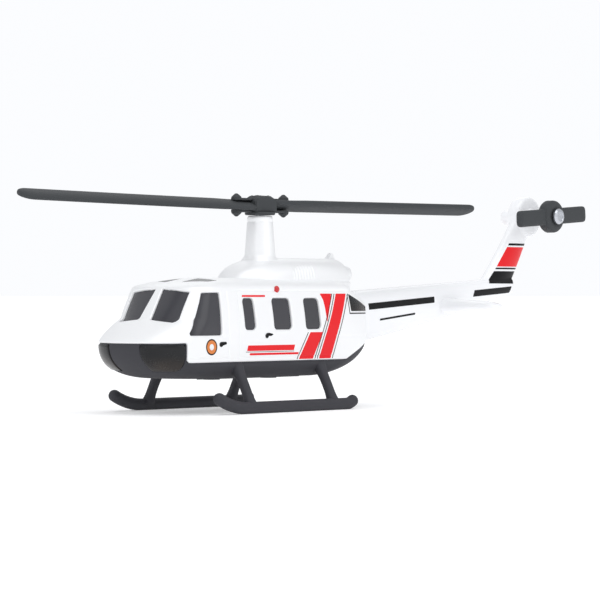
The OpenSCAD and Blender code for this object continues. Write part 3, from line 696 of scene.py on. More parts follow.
@dataclass(frozen=True)
class Finish:
    """What a piece is painted or moulded in.

    Attributes:
        name: the material's name.
        slot: name of a material slot; not used.
        colour: main colour.
        shade: colour that it drifts towards.
        rough: least and most roughness.
        coat: clear layer over it, from 0 to 1.
        depth: height of the surface texture, in millimetres.
        dust: how much dust lies on it.
        dust_colour: the dust's colour.
        shine: strength of its plain reflections.
    """

    name: str
    slot: str
    colour: Colour
    shade: Colour
    rough: tuple[float, float]
    coat: float = 0
    depth: float = 0.004
    dust: float = 0.1
    dust_colour: Colour = (0.62, 0.61, 0.59)
    shine: float = 0.5

    def material(self) -> bpy.types.Material:
        """The finish as a Blender material, made the first time it is asked for."""
        found = bpy.data.materials.get(self.name)
        if found:
            return found
        material = bpy.data.materials.new(self.name)
        material.use_nodes = True
        material.diffuse_color = (*self.colour, 1)
        wires = Wiring(material.node_tree)
        shader = material.node_tree.nodes["Principled BSDF"]
        shader.inputs["Coat Weight"].default_value = self.coat
        shader.inputs["Coat Roughness"].default_value = 0.08
        shader.inputs["Specular IOR Level"].default_value = self.shine
        self.dress(wires, shader)
        return material

    def texture(self, wires: Wiring) -> tuple[bpy.types.NodeSocket, bpy.types.NodeSocket]:
        """Height and mask of the surface's own texture."""
        node = effect_node(wires, Effect.GRAIN, Scale=5000, Flow=0.4)
        return node.outputs["Height"], node.outputs["Mask"]

    def tint(self, wires: Wiring) -> bpy.types.NodeSocket:
        """The colour before dust."""
        drift = effect_node(wires, Effect.DRIFT, Scale=70, Contrast=1.6).outputs["Mask"]
        return wires.blend(drift, self.colour, self.shade)

    def dress(self, wires: Wiring, shader: bpy.types.Node) -> None:
        """Joins colour, roughness and texture to the shader.

        Args:
            wires: the material's wiring.
            shader: its Principled BSDF.
        """
        links = wires.tree.links
        height, mask = self.texture(wires)
        dust = effect_node(wires, Effect.DUST, Scale=900, Amount=self.dust).outputs["Mask"]
        scuffs = effect_node(wires, Effect.SCUFFS, Scale=700, Amount=0.5).outputs["Mask"]
        links.new(wires.blend(dust, self.tint(wires), self.dust_colour), shader.inputs["Base Color"])
        plain = wires.between(mask, 0, 1, *self.rough)
        dulled = wires.maths("ADD", plain, wires.maths("MULTIPLY", dust, 0.5))
        rough = wires.maths("ADD", dulled, wires.maths("MULTIPLY", scuffs, 0.18), clamp=True)
        links.new(rough, shader.inputs["Roughness"])
        bumps = wires.node("ShaderNodeBump", {"Height": height, "Strength": 1.0, "Distance": self.depth*MM})
        links.new(bumps.outputs[0], shader.inputs["Normal"])


@dataclass(frozen=True)
class Enamel(Finish):
    """Sprayed gloss enamel on cast metal."""

    def texture(self, wires: Wiring) -> tuple[bpy.types.NodeSocket, bpy.types.NodeSocket]:
        """Height and mask of the enamel's waves."""
        node = effect_node(wires, Effect.PEEL, Scale=1500, Specks=0.25)
        return node.outputs["Height"], node.outputs["Mask"]


@dataclass(frozen=True)
class Smoked(Finish):
    """Smoked clear plastic, nearly opaque, with a brown glow low down."""

    glow: Colour = (0.05, 0.037, 0.028)

    def tint(self, wires: Wiring) -> bpy.types.NodeSocket:
        """Smoke colour with streaks, warmer towards the foot of a pane."""
        drift = effect_node(wires, Effect.DRIFT, Scale=160, Contrast=2.4).outputs["Mask"]
        place = wires.node("ShaderNodeTexCoord").outputs["Generated"]
        height = wires.node("ShaderNodeSeparateXYZ", {0: place}).outputs["Z"]
        low = wires.between(height, 0.1, 0.6, 0.8, 0)
        return wires.blend(wires.maths("MULTIPLY", low, drift), wires.blend(drift, self.colour, self.shade),
                           self.glow)


@dataclass(frozen=True)
class Ink(Finish):
    """Pad-printed ink, a little uneven where it thins."""

    def tint(self, wires: Wiring) -> bpy.types.NodeSocket:
        """Ink colour with thin spots."""
        thin = wires.between(_noise(wires, 2600.0, 5, 0.7), 0.62, 0.8, 0, 0.35)
        return wires.blend(thin, self.colour, self.shade)


@dataclass(frozen=True)
class Steel(Finish):
    """Bright turned steel."""

    across: tuple[float, float, float] = (1, 1, 0)

    def texture(self, wires: Wiring) -> tuple[bpy.types.NodeSocket, bpy.types.NodeSocket]:
        """Height and mask of the lathe's rings."""
        x, y, z = self.across
        node = effect_node(wires, Effect.TURNING, Rings=22, Across_X=x, Across_Y=y, Across_Z=z)
        return node.outputs["Height"], wires.between(node.outputs["Height"], -1, 2)

    def dress(self, wires: Wiring, shader: bpy.types.Node) -> None:
        """Joins the usual layers and makes the surface metal."""
        super().dress(wires, shader)
        shader.inputs["Metallic"].default_value = 1.0


DARK_DUST = (0.14, 0.14, 0.145)
WHITE_ENAMEL = Enamel("white_enamel", "white_enamel", (0.86, 0.87, 0.885), (0.82, 0.835, 0.86),
                      rough=(0.2, 0.3), coat=0.5, depth=0.006, dust=0.05)
WHITE_PLASTIC = Finish("white_plastic", "white_plastic", (0.84, 0.855, 0.88), (0.80, 0.82, 0.85),
                       rough=(0.3, 0.4), coat=0.15, depth=0.003, dust=0.06)
SMOKED_CLEAR = Smoked("smoked_clear", "smoked_clear", (0.008, 0.0085, 0.01), (0.019, 0.019, 0.021),
                      rough=(0.16, 0.28), coat=0.05, depth=0.004, dust=0.03, dust_colour=DARK_DUST,
                      shine=0.25)
SMOKED_CHIN = Smoked("smoked_chin", "smoked_clear", (0.007, 0.0075, 0.009), (0.014, 0.0145, 0.016),
                     rough=(0.2, 0.3), coat=0.05, depth=0.004, dust=0.02, dust_colour=DARK_DUST, shine=0.25)
BASE_BLACK = Finish("base_black", "base_black", (0.0065, 0.0072, 0.0088), (0.011, 0.012, 0.014),
                    rough=(0.3, 0.42), coat=0.0, depth=0.005, dust=0.03, dust_colour=DARK_DUST, shine=0.16)
ROTOR_BLACK = Finish("rotor_black", "rotor_black", (0.0045, 0.005, 0.006), (0.008, 0.009, 0.0105),
                     rough=(0.34, 0.46), coat=0.0, depth=0.006, dust=0.03, dust_colour=DARK_DUST, shine=0.1)
PIN_STEEL = Steel("pin_steel", "pin_steel", (0.62, 0.64, 0.68), (0.45, 0.47, 0.51),
                  rough=(0.2, 0.34), coat=0, depth=0.004, dust=0.03)
PIN_STEEL_ACROSS = Steel("pin_steel_across", "pin_steel", (0.62, 0.64, 0.68), (0.45, 0.47, 0.51),
                         rough=(0.2, 0.34), coat=0, depth=0.004, dust=0.03, across=(0, 1, 1))
RED_INK = Ink("red_ink", "red_print", (0.80, 0.008, 0.014), (0.82, 0.035, 0.035),
              rough=(0.28, 0.38), coat=0.0, depth=0.002, dust=0.01, shine=0.25)
RED_PAINT = Finish("red_paint", "red_print", (0.62, 0.012, 0.016), (0.5, 0.01, 0.012),
                   rough=(0.2, 0.3), coat=0.4, depth=0.003, dust=0.03)
BLACK_INK = Ink("black_ink", "base_black", (0.005, 0.005, 0.006), (0.02, 0.02, 0.023),
                rough=(0.3, 0.4), coat=0.0, depth=0.002, dust=0.01, shine=0.15)
ORANGE_INK = Ink("orange_ink", "red_print", (0.72, 0.2, 0.025), (0.8, 0.36, 0.1),
                 rough=(0.3, 0.4), coat=0.2, depth=0.002, dust=0.03)
WHITE_INK = Ink("white_ink", "white_enamel", (0.85, 0.85, 0.85), (0.7, 0.7, 0.7),
                rough=(0.3, 0.4), coat=0.2, depth=0.002, dust=0.03)


# ---------------------------------------------------------------- cabin


@dataclass(frozen=True)
class CabinForm:
    """The cabin's outline at each height, in millimetres from the main rotor's axis and the ground."""

    width: float = 18.7
    rail_width: float = 17.2
    belly_width: float = 13
    nose: float = 33
    chin: float = 24
    screen: float = 27.7
    brow: float = 24.3
    crown: float = 16.5
    tail: float = 23.4
    flank: float = 12
    rail_end: float = 17.1
    crown_end: float = 14.5
    belly_end: float = 9
    chin_depth: float = 5.9
    brow_depth: float = 4.2
    belly_z: float = 5.6
    seam_z: float = 8.3
    nose_z: float = 10.9
    chin_z: float = 11.5
    waist_z: float = 13
    screen_z: float = 15.3
    shoulder_z: float = 17.2
    rail_z: float = 19.9
    brow_z: float = 20.2
    roof_z: float = 21.9
    door_front: float = -27.4

    def half_width(self, z: Array) -> Array:
        """Half the cabin's width at some heights."""
        low = mix(self.belly_width, self.width, swell((self.seam_z - z)/(self.seam_z - self.belly_z), 2))/2
        wall = mix(self.width, self.rail_width, part_way(self.waist_z, self.rail_z, z)**2)/2
        roof = self.rail_width/2*swell(part_way(self.rail_z, self.roof_z, z), 2.3)
        return np.where(z < self.seam_z, low, np.where(z < self.rail_z, wall, roof))

    def nose_y(self, z: Array) -> Array:
        """Where the nose is at some heights."""
        low = mix(self.chin, self.nose, swell((self.nose_z - z)/(self.nose_z - self.belly_z), 2))
        bonnet = mix(self.nose, self.screen, part_way(self.nose_z, self.screen_z, z)**1.5)
        glass = mix(self.screen, self.brow, part_way(self.screen_z, self.brow_z, z))
        roof = mix(self.brow, self.crown, part_way(self.brow_z, self.roof_z, z)**1.6)
        return -np.select([z < self.nose_z, z < self.screen_z, z < self.brow_z], [low, bonnet, glass], roof)

    def tail_y(self, z: Array) -> Array:
        """Where the rear of the cabin is at some heights."""
        low = mix(self.belly_end, self.tail, swell((self.nose_z - z)/(self.nose_z - self.belly_z), 1.6))
        wall = mix(self.tail, self.rail_end, part_way(self.shoulder_z, self.rail_z, z)**1.5)
        roof = mix(self.rail_end, self.crown_end, part_way(self.rail_z, self.roof_z, z)**2)
        return np.select([z < self.nose_z, z < self.rail_z], [low, wall], roof)

    def grid(self, heights: Array, inset: float, caps: tuple[bool, bool]) -> Grid:
        """The cabin's skin between some heights.

        Args:
            heights: the rows.
            inset: how far it stands inside the shell's outside.
            caps: whether the foot and the top are closed.

        Returns:
            The skin, with its columns upright along the middle of the flanks.
        """
        z = np.asarray(heights, float)[:, None]
        shape = np.maximum(z, self.belly_z)
        w = self.half_width(shape) - inset
        blunt = part_way(self.screen_z, self.rail_z, shape)
        depth = mix(self.chin_depth, self.brow_depth, blunt)
        power = mix(2.2, 2.8, blunt)
        front = self.nose_y(shape) + depth
        rear = np.where(shape < self.nose_z, self.flank*self.tail_y(shape)/self.tail, self.flank)
        turns = np.linspace(0, math.pi/2, 46)[None, :-1]
        ahead, aside = arc(turns, power)
        nose_x, nose_y = aside*w, front - ahead*(depth - inset)
        stations = np.unique(np.concatenate([
            np.arange(-18.6, 10, 0.25), -15.3 + _CREASE, -17.9 + _CREASE, [10]]))
        first = np.maximum(stations[0], front + 1)
        last = np.minimum(10, rear - 0.5)
        middle_y = first + (stations - stations[0])*(last - first)/(stations[-1] - stations[0])
        lead = mix(front, first, np.linspace(0, 1, 36)[None, :-1])
        trail = mix(last, rear, np.linspace(0, 1, 6)[None, 1:])
        bends = np.linspace(0, math.pi/2, 46)[None, 1:]
        tail_x = w*np.cos(bends)
        tail_y = rear + (self.tail_y(shape) - rear - inset)*np.sin(bends)
        flat_y = np.concatenate([lead, middle_y, trail], 1)
        x = np.concatenate([nose_x, np.broadcast_to(w, flat_y.shape), tail_x], 1)
        y = np.concatenate([nose_y, flat_y, tail_y], 1)
        x[:, 0] = x[:, -1] = 0
        port = np.stack([x, y, np.broadcast_to(z, x.shape)], 2)
        starboard = port[:, -2:0:-1]*np.array([-1, 1, 1])
        return Grid(np.concatenate([port, starboard], 1), True, caps)


_CREASE = np.array([-0.34, -0.24, -0.16, -0.1, -0.05, 0, 0.05, 0.1, 0.16, 0.24, 0.34])
FORM = CabinForm()
GLASS = CabinForm(nose=29.75)


@dataclass(frozen=True)
class Openings:
    """The cabin's windows, in millimetres."""

    window_z: float = 13.4
    window_h: float = 5.2
    window_r: float = 0.7
    slant: float = 0.3
    widths: tuple[float, ...] = (2.7, 4.5, 3.9)
    middles: tuple[float, ...] = (-12.7, -4.7, 2.9)
    door_z: float = 12.6
    door_h: float = 6.9
    door_front: float = -26.8
    door_rear: float = -19.4
    door_lean: float = 3.8
    door_knee: tuple[float, float] = (-24.4, 15.3)
    door_r: float = 0.3
    screen_r: float = 0.2
    post: float = 1.0
    flare: float = 0.25
    screen_w: float = 5.3
    roof_front: float = -21
    roof_l: float = 4
    roof_w: float = 5

    def distance(self, p: Array) -> Array:
        """Distance to the nearest window, less than 0 inside one."""
        x, y, z = np.abs(p[..., 0]), p[..., 1], p[..., 2]
        foot, top = self.window_z + self.window_r, self.window_z + self.window_h - self.window_r
        side = np.full(x.shape, np.inf)
        for width, middle in zip(self.widths, self.middles):
            w, lean = width/2 - self.window_r, self.slant/2
            side = np.minimum(side, polygon_distance(y, z, [
                (middle - w + lean, foot), (middle + w + lean, foot),
                (middle + w - lean, top), (middle - w - lean, top)], self.window_r))
        r = self.door_r
        side = np.minimum(side, polygon_distance(y, z, [
            (self.door_front + r, self.door_z + r), (self.door_rear - r, self.door_z + r),
            (self.door_rear - r, self.door_z + self.door_h - r),
            (self.door_front + self.door_lean + r, self.door_z + self.door_h - r), self.door_knee], r))
        side = np.maximum(side, 5.6 - x)
        r, foot = self.screen_r, FORM.screen_z - 0.1
        outer = self.post + self.screen_w - r
        screen = polygon_distance(x, z, [
            (self.post + self.flare + r, foot + 0.1 + r), (outer, foot - 0.35 + r),
            (outer, FORM.brow_z - 0.6 - r), (self.post - self.flare + r, FORM.brow_z - r)], r)
        screen = np.maximum(screen, y + FORM.brow - 2.5)
        inner, outer = self.post + 0.6 + r, self.post + self.roof_w - r
        roof = polygon_distance(x, y, [
            (inner, self.roof_front + r), (outer, self.roof_front + 1.6 + r),
            (outer, self.roof_front + self.roof_l - r), (inner, self.roof_front + self.roof_l - r)], r)
        roof = np.maximum(roof, FORM.brow_z - 1 - z)
        return np.minimum(np.minimum(side, screen), roof)


def above_seam(p: Array) -> Array:
    """Height over the line where the white shell meets the black base, less than 0 under it."""
    y, z = p[..., 1], p[..., 2]
    far = 60
    low = polygon_distance(y, z, [(-far, -far), (-far, FORM.seam_z), (FORM.flank, FORM.seam_z),
                                  (far, FORM.seam_z + (far - FORM.flank)*0.4), (far, -far)])
    r = 0.5
    chin = polygon_distance(y, z, [(-far, -far), (-far, FORM.chin_z - r),
                                   (FORM.door_front - r, FORM.chin_z - r), (FORM.door_front - r, -far)], r)
    return np.minimum(low, chin)


def window_span(v: Array, low: float, high: float, soft: float = 0.25) -> Array:
    """1 between two values and 0 outside them, with soft ends."""
    return np.clip((v - low)/soft + 0.5, 0, 1)*np.clip((high - v)/soft + 0.5, 0, 1)


@dataclass
class Cabin:
    """The white shell, its windows and its painted marks.

    Attributes:
        wall: thickness of the casting.
        recess: how far the panes sit back.
        lip: radius of the edges round the openings.
        openings: the windows.
    """

    wall: float = 0.9
    recess: float = 0.42
    lip: float = 0.22
    openings: Openings = field(default_factory=Openings)

    def relief(self, p: Array, out: Array) -> Array:
        """Heights of the door seams, the rail and the folds pressed into the skin."""
        y, z = p[..., 1], p[..., 2]
        side = np.clip(np.abs(out[..., 0])*1.6 - 0.3, 0, 1)
        doors = window_span(z, 8.9, 19.7)
        h = -0.13*bump(y, -15.3, 0.09)*doors - 0.08*bump(y, -17.9, 0.1)*doors
        h = h + 0.05*window_span(y, -17.8, -15.4, 0.3)*doors
        h = h - 0.10*bump(z, 19.75, 0.11)*window_span(y, -15.3, 12.4)
        h = h - 0.08*bump(z, 9.0, 0.1)*window_span(y, -15.3, 8.5)
        h = h - 0.07*bump(z, 9.0, 0.1)*window_span(y, -26.9, -18)
        fold = part_way(12.1, 9.0, z)*part_way(8.6, 12.5, y)
        h = h - 0.28*fold - 0.05*bump(z, 12.15, 0.14)*window_span(y, 8.8, 30, 0.5)
        return h*side

    def skin(self) -> Grid:
        """The whole outside of the shell, before any opening."""
        wall = np.unique(np.concatenate([
            np.arange(7.9, FORM.rail_z, 0.21), 9.0 + _CREASE, 19.75 + _CREASE[_CREASE < 0.12]]))
        crown = FORM.rail_z + (FORM.roof_z - FORM.rail_z)*np.sin(np.linspace(0, math.radians(88.5), 30))
        return FORM.grid(np.concatenate([wall, crown]), 0, (False, True)).raised(self.relief)

    def build(self) -> None:
        """Makes the shell and the glazing."""
        skin = self.skin()
        reach = self.openings.distance
        shell = skin.cut(lambda p: np.minimum(reach(p), above_seam(p)) - self.lip, self.wall, self.lip)
        add_piece("cabin_casting", shell, WHITE_ENAMEL, Body.AIRFRAME, ["cabin_shell"])
        panes = GLASS.grid(skin.points[:, 0, 2], self.recess, (False, True)).cut(lambda p: 0.4 - reach(p),
                                                                                 0.4, 0, 0)
        add_piece("cabin_glazing", panes, SMOKED_CLEAR, Body.AIRFRAME, ["window_insert"])
        self.target = surface_tree(skin)


def surface_tree(grid: Grid) -> BVHTree:
    """A search tree of a sheet's faces, in millimetres."""
    return BVHTree.FromPolygons(grid.points.reshape(-1, 3).tolist(),
                                [tuple(f) for f in grid.quads().tolist()])


@dataclass
class Print:
    """A mark printed on the side of a piece, drawn as seen from the port side.

    Attributes:
        name: the piece's name.
        shapes: outlines in (place along the model, height), joined together.
        ink: its ink.
        step: spacing of its points.
        radius: rounding of the outlines' corners.
        film: how far the ink stands off the surface.
    """

    name: str
    shapes: Sequence[Sequence[tuple[float, float]]]
    ink: Finish
    step: float = 0.1
    radius: float = 0.0
    film: float = 0.02

    def distance(self, p: Array) -> Array:
        """More than 0 inside the mark."""
        y, z = p[..., 1], p[..., 2]
        return -np.minimum.reduce([polygon_distance(y, z, s, self.radius) for s in self.shapes])

    def build(self, tree: BVHTree, both: bool = True, body: Body = Body.AIRFRAME) -> None:
        """Lays the mark on a surface.

        Args:
            tree: the surface.
            both: whether the far side carries it too.
            body: the body it rides on.
        """
        corners = np.array([c for s in self.shapes for c in s])
        pad = self.radius + 2*self.step
        low, high = corners.min(0) - pad, corners.max(0) + pad
        ys = np.arange(low[0], high[0], self.step)
        zs = np.arange(low[1], high[1], self.step)
        x = np.full((len(zs), len(ys)), np.nan)
        for r, z in enumerate(zs):
            for c, y in enumerate(ys):
                hit = tree.ray_cast(Vector((40, y, z)), Vector((-1, 0, 0)), 41)[0]
                if hit is not None:
                    x[r, c] = hit.x
            good = ~np.isnan(x[r])
            if good.any():
                x[r] = np.interp(ys, ys[good], x[r][good])
        good = ~np.isnan(x[:, 0])
        x = x[good]
        y, z = np.meshgrid(ys, zs[good])
        grid = Grid(np.stack([x, y, z], 2))
        film = grid.cut(self.distance, 2*self.film, 0, self.film)
        add_piece(f"{self.name}_port" if both else self.name, film, self.ink, body)
        if both:
            add_piece(f"{self.name}_starboard", film.mirrored(), self.ink, body)


def slanted(y: float, low: float, high: float, width: float,
            slope: float = 0.352) -> list[tuple[float, float]]:
    """A leaning bar.

    Args:
        y: where its forward edge is at its foot.
        low: height of its foot.
        high: height of its top.
        width: its width along the model.
        slope: how far it leans back for each millimetre up.

    Returns:
        Its corners.
    """
    lean = slope*(high - low)
    return [(y, low), (y + width, low), (y + width + lean, high), (y + lean, high)]


def disc(y: float, z: float, radius: float, steps: int = 40) -> list[tuple[float, float]]:
    """A round outline."""
    return [(y + radius*math.cos(2*math.pi*i/steps), z + radius*math.sin(2*math.pi*i/steps))
            for i in range(steps)]


@dataclass
class Livery:
    """The printed stripes, panels and door handles, all plain shapes."""

    foot: float = 8.5
    top: float = 19.3

    def build(self, cabin: BVHTree, boom: BVHTree) -> None:
        """Prints every mark.

        Args:
            cabin: the cabin's skin.
            boom: the tail boom and fin.
        """
        stripe = [(4.24, self.foot), (7.2, self.foot), (11.89, self.top), (9.29, self.top)]
        block = [(-0.85, self.foot), (2.68, self.foot), (5.35, 12.9), (2.1, 12.9)]
        wedge = [(5.15, 19.3), (5.8, 18.3), (6.1, 16.9), (6.45, 14.4), (6.65, 15.2), (8.1, 19.3)]
        for mark in (
            Print("stripe_long", [stripe], RED_INK),
            Print("stripe_block", [block], RED_INK),
            Print("stripe_wedge", [wedge], RED_INK),
            Print("stripe_outlines", [
                slanted(3.12, self.foot, self.top, 0.17, 0.47),
                slanted(3.72, self.foot, self.top, 0.17, 0.47),
                slanted(7.6, self.foot, self.top, 0.17, 0.435),
                slanted(-1.4, self.foot, 12.9, 0.17, 0.66)], BLACK_INK, 0.06),
            Print("side_bars", [
                slanted(-13.6, 10.0, 10.9, 11.5), slanted(-13.0, 9.3, 9.65, 12.0)], RED_INK, 0.1),
            Print("side_pinline", [slanted(-13.9, 9.8, 9.88, 11.9)], BLACK_INK, 0.04),
            Print("window_pinline", [slanted(-14.3, 18.75, 19.05, 5.6)], RED_INK, 0.08),
            Print("handle_front", [disc(-19.75, 11.15, 0.34),
                                   [(-19.7, 10.95), (-18.5, 11.25), (-18.6, 11.5), (-19.7, 11.5)]],
                  BLACK_INK, 0.06, 0.06, 0.05),
            Print("handle_rear", [disc(-8.75, 12.4, 0.32),
                                  [(-8.8, 12.45), (-7.7, 12.45), (-7.3, 12.65), (-8.2, 12.85), (-8.8, 12.8)]],
                  BLACK_INK, 0.06, 0.06, 0.05),
            Print("roundel_rim", [disc(-22.0, 10.75, 1.3)], BLACK_INK, 0.08, 0, 0.015),
            Print("roundel_ring", [disc(-22.0, 10.75, 1.08)], ORANGE_INK, 0.08, 0, 0.025),
            Print("roundel_middle", [disc(-22.0, 10.75, 0.5)], WHITE_INK, 0.06, 0, 0.035),
            Print("rear_quarter_light", [[(12.6, 19.15), (12.9, 16.4), (18.7, 16.4), (18.7, 17.0)]],
                  SMOKED_CHIN, 0.1, 0.05, 0.04),
            Print("rear_quarter_line",
                  [[(12.4, 15.88), (18.7, 15.88), (18.7, 16.08), (12.55, 16.08), (12.25, 19.1),
                    (12.1, 19.1)]], BLACK_INK, 0.06),
        ):
            mark.build(cabin)
        for mark in (
            Print("boom_stripe_front", [[(24.35, 16.5), (43.9, 17.7), (43.9, 18.8), (24.35, 17.6)]],
                  BLACK_INK, 0.12),
            Print("boom_stripe_rear", [[(56.0, 18.75), (68.2, 19.5), (68.7, 20.7), (56.6, 19.95)]],
                  BLACK_INK, 0.1),
            Print("boom_pinline", [[(27.5, 14.6), (38.0, 15.6), (38.0, 15.95), (27.5, 14.95)]], BLACK_INK,
                  0.1),
            Print("fin_line_top", [fin_band(28.3, 28.7, 1.15)], BLACK_INK, 0.06),
            Print("fin_panel", [fin_band(24.35, 28.0, 1.15)], RED_INK, 0.08),
            Print("fin_line_low", [fin_band(23.85, 24.15, 1.15)], BLACK_INK, 0.06),
            Print("fin_block", [fin_band(21.2, 23.5, 1.15)], BLACK_INK, 0.08),
        ):
            mark.build(boom)


@dataclass
class Base:
    """The black moulding under the shell, with the chin windows.

    Attributes:
        step: how far it stands back from the shell.
        wall: its thickness.
        bar: half the width of the bar between the chin windows.
        pane_z: foot of the chin windows.
        bulge: how far they stand out.
    """

    step: float = 0.35
    wall: float = 0.9
    bar: float = 3.4
    pane_z: float = 6.9
    bulge: float = 0.12

    def chin(self, p: Array) -> Array:
        """Distance to a chin window, less than 0 inside it."""
        r = 0.3
        x, y, z = np.abs(p[..., 0]), p[..., 1], p[..., 2]
        flat = np.minimum(np.minimum(x - self.bar, FORM.door_front - 0.25 - y)*0.8,
                          np.minimum(z - self.pane_z, FORM.chin_z - 0.3 - z))
        return r - np.minimum(flat + r, 9)

    def relief(self, p: Array, out: Array) -> Array:
        """Heights of the keel line."""
        y, z = p[..., 1], p[..., 2]
        return 0.05*bump(z, 7.6, 0.2)*window_span(y, -26, 8, 1)*np.abs(out[..., 0])

    def skin(self) -> Grid:
        """The whole outside of the base."""
        low = FORM.belly_z + (FORM.seam_z - FORM.belly_z)*(1 - np.cos(np.linspace(0, math.pi/2, 26)))
        high = np.arange(FORM.seam_z + 0.18, 12.8, 0.2)
        return FORM.grid(np.concatenate([low, high]), self.step, (True, False)).raised(self.relief)

    def build(self) -> None:
        """Makes the base, its chin windows and what is moulded under it."""
        skin = self.skin()
        base = skin.cut(lambda p: np.minimum(0.25 - above_seam(p), self.chin(p) - 0.1), self.wall, 0.1)
        add_piece("belly_moulding", base, BASE_BLACK, Body.AIRFRAME, ["belly_base"])
        pane = skin.cut(lambda p: np.minimum(-self.chin(p) - 0.16, -0.04 - above_seam(p)), 0.6, 0.14,
                        self.bulge)
        for side, way in (("port", 1), ("starboard", -1)):
            half = _half(pane, way)
            add_piece(f"chin_pane_{side}", half, SMOKED_CHIN, Body.AIRFRAME, [f"chin_window_{side}"])
        for end in ("front", "rear"):
            low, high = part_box(f"{end}_rivet")
            y, z, r = (low.y + high.y)/2/MM - AXIS_Y, low.z/MM, (high.x - low.x)/2/MM + 0.06
            boss = ring([(r, z - 0.02), (r + 0.06, z - 0.12), (r + 0.3, z - 0.12), (r + 0.4, z - 0.02),
                         (r + 0.42, z + 0.2),
                         (r + 0.7, z + 0.5), (r, z + 0.5)], (0, y, 0), "Z", 64)
            add_piece(f"belly_boss_{end}", boss, BASE_BLACK, Body.AIRFRAME)
        plate = bevelled_hull([(x, y, z) for x in (-2.6, 2.6) for y in (-8.2, 0.6) for z in (5.38, 5.8)],
                              0.12)
        add_piece("belly_plate", plate, BASE_BLACK, Body.AIRFRAME)
        for way in (-1, 1):
            rail = bevelled_hull([(way*x, y, z) for x in (4.5, 4.9) for y in (-20.5, 4.5)
                                  for z in (5.45, 5.8)], 0.1)
            add_piece(f"belly_rail_{'port' if way > 0 else 'starboard'}", rail, BASE_BLACK, Body.AIRFRAME)


def _half(mesh: Mesh, way: int) -> Mesh:
    """The faces of a mesh on one side of the model."""
    faces = [f for f in mesh.faces if mesh.points[list(f), 0].mean()*way > 0]
    used = sorted({i for f in faces for i in f})
    place = {v: i for i, v in enumerate(used)}
    return Mesh(mesh.points[used], [tuple(place[i] for i in f) for f in faces])


def _flipped(mesh: Mesh) -> Mesh:
    """The mesh with its faces turned to look the other way."""
    return Mesh(mesh.points, [tuple(reversed(f)) for f in mesh.faces])


# ---------------------------------------------------------------- cowling


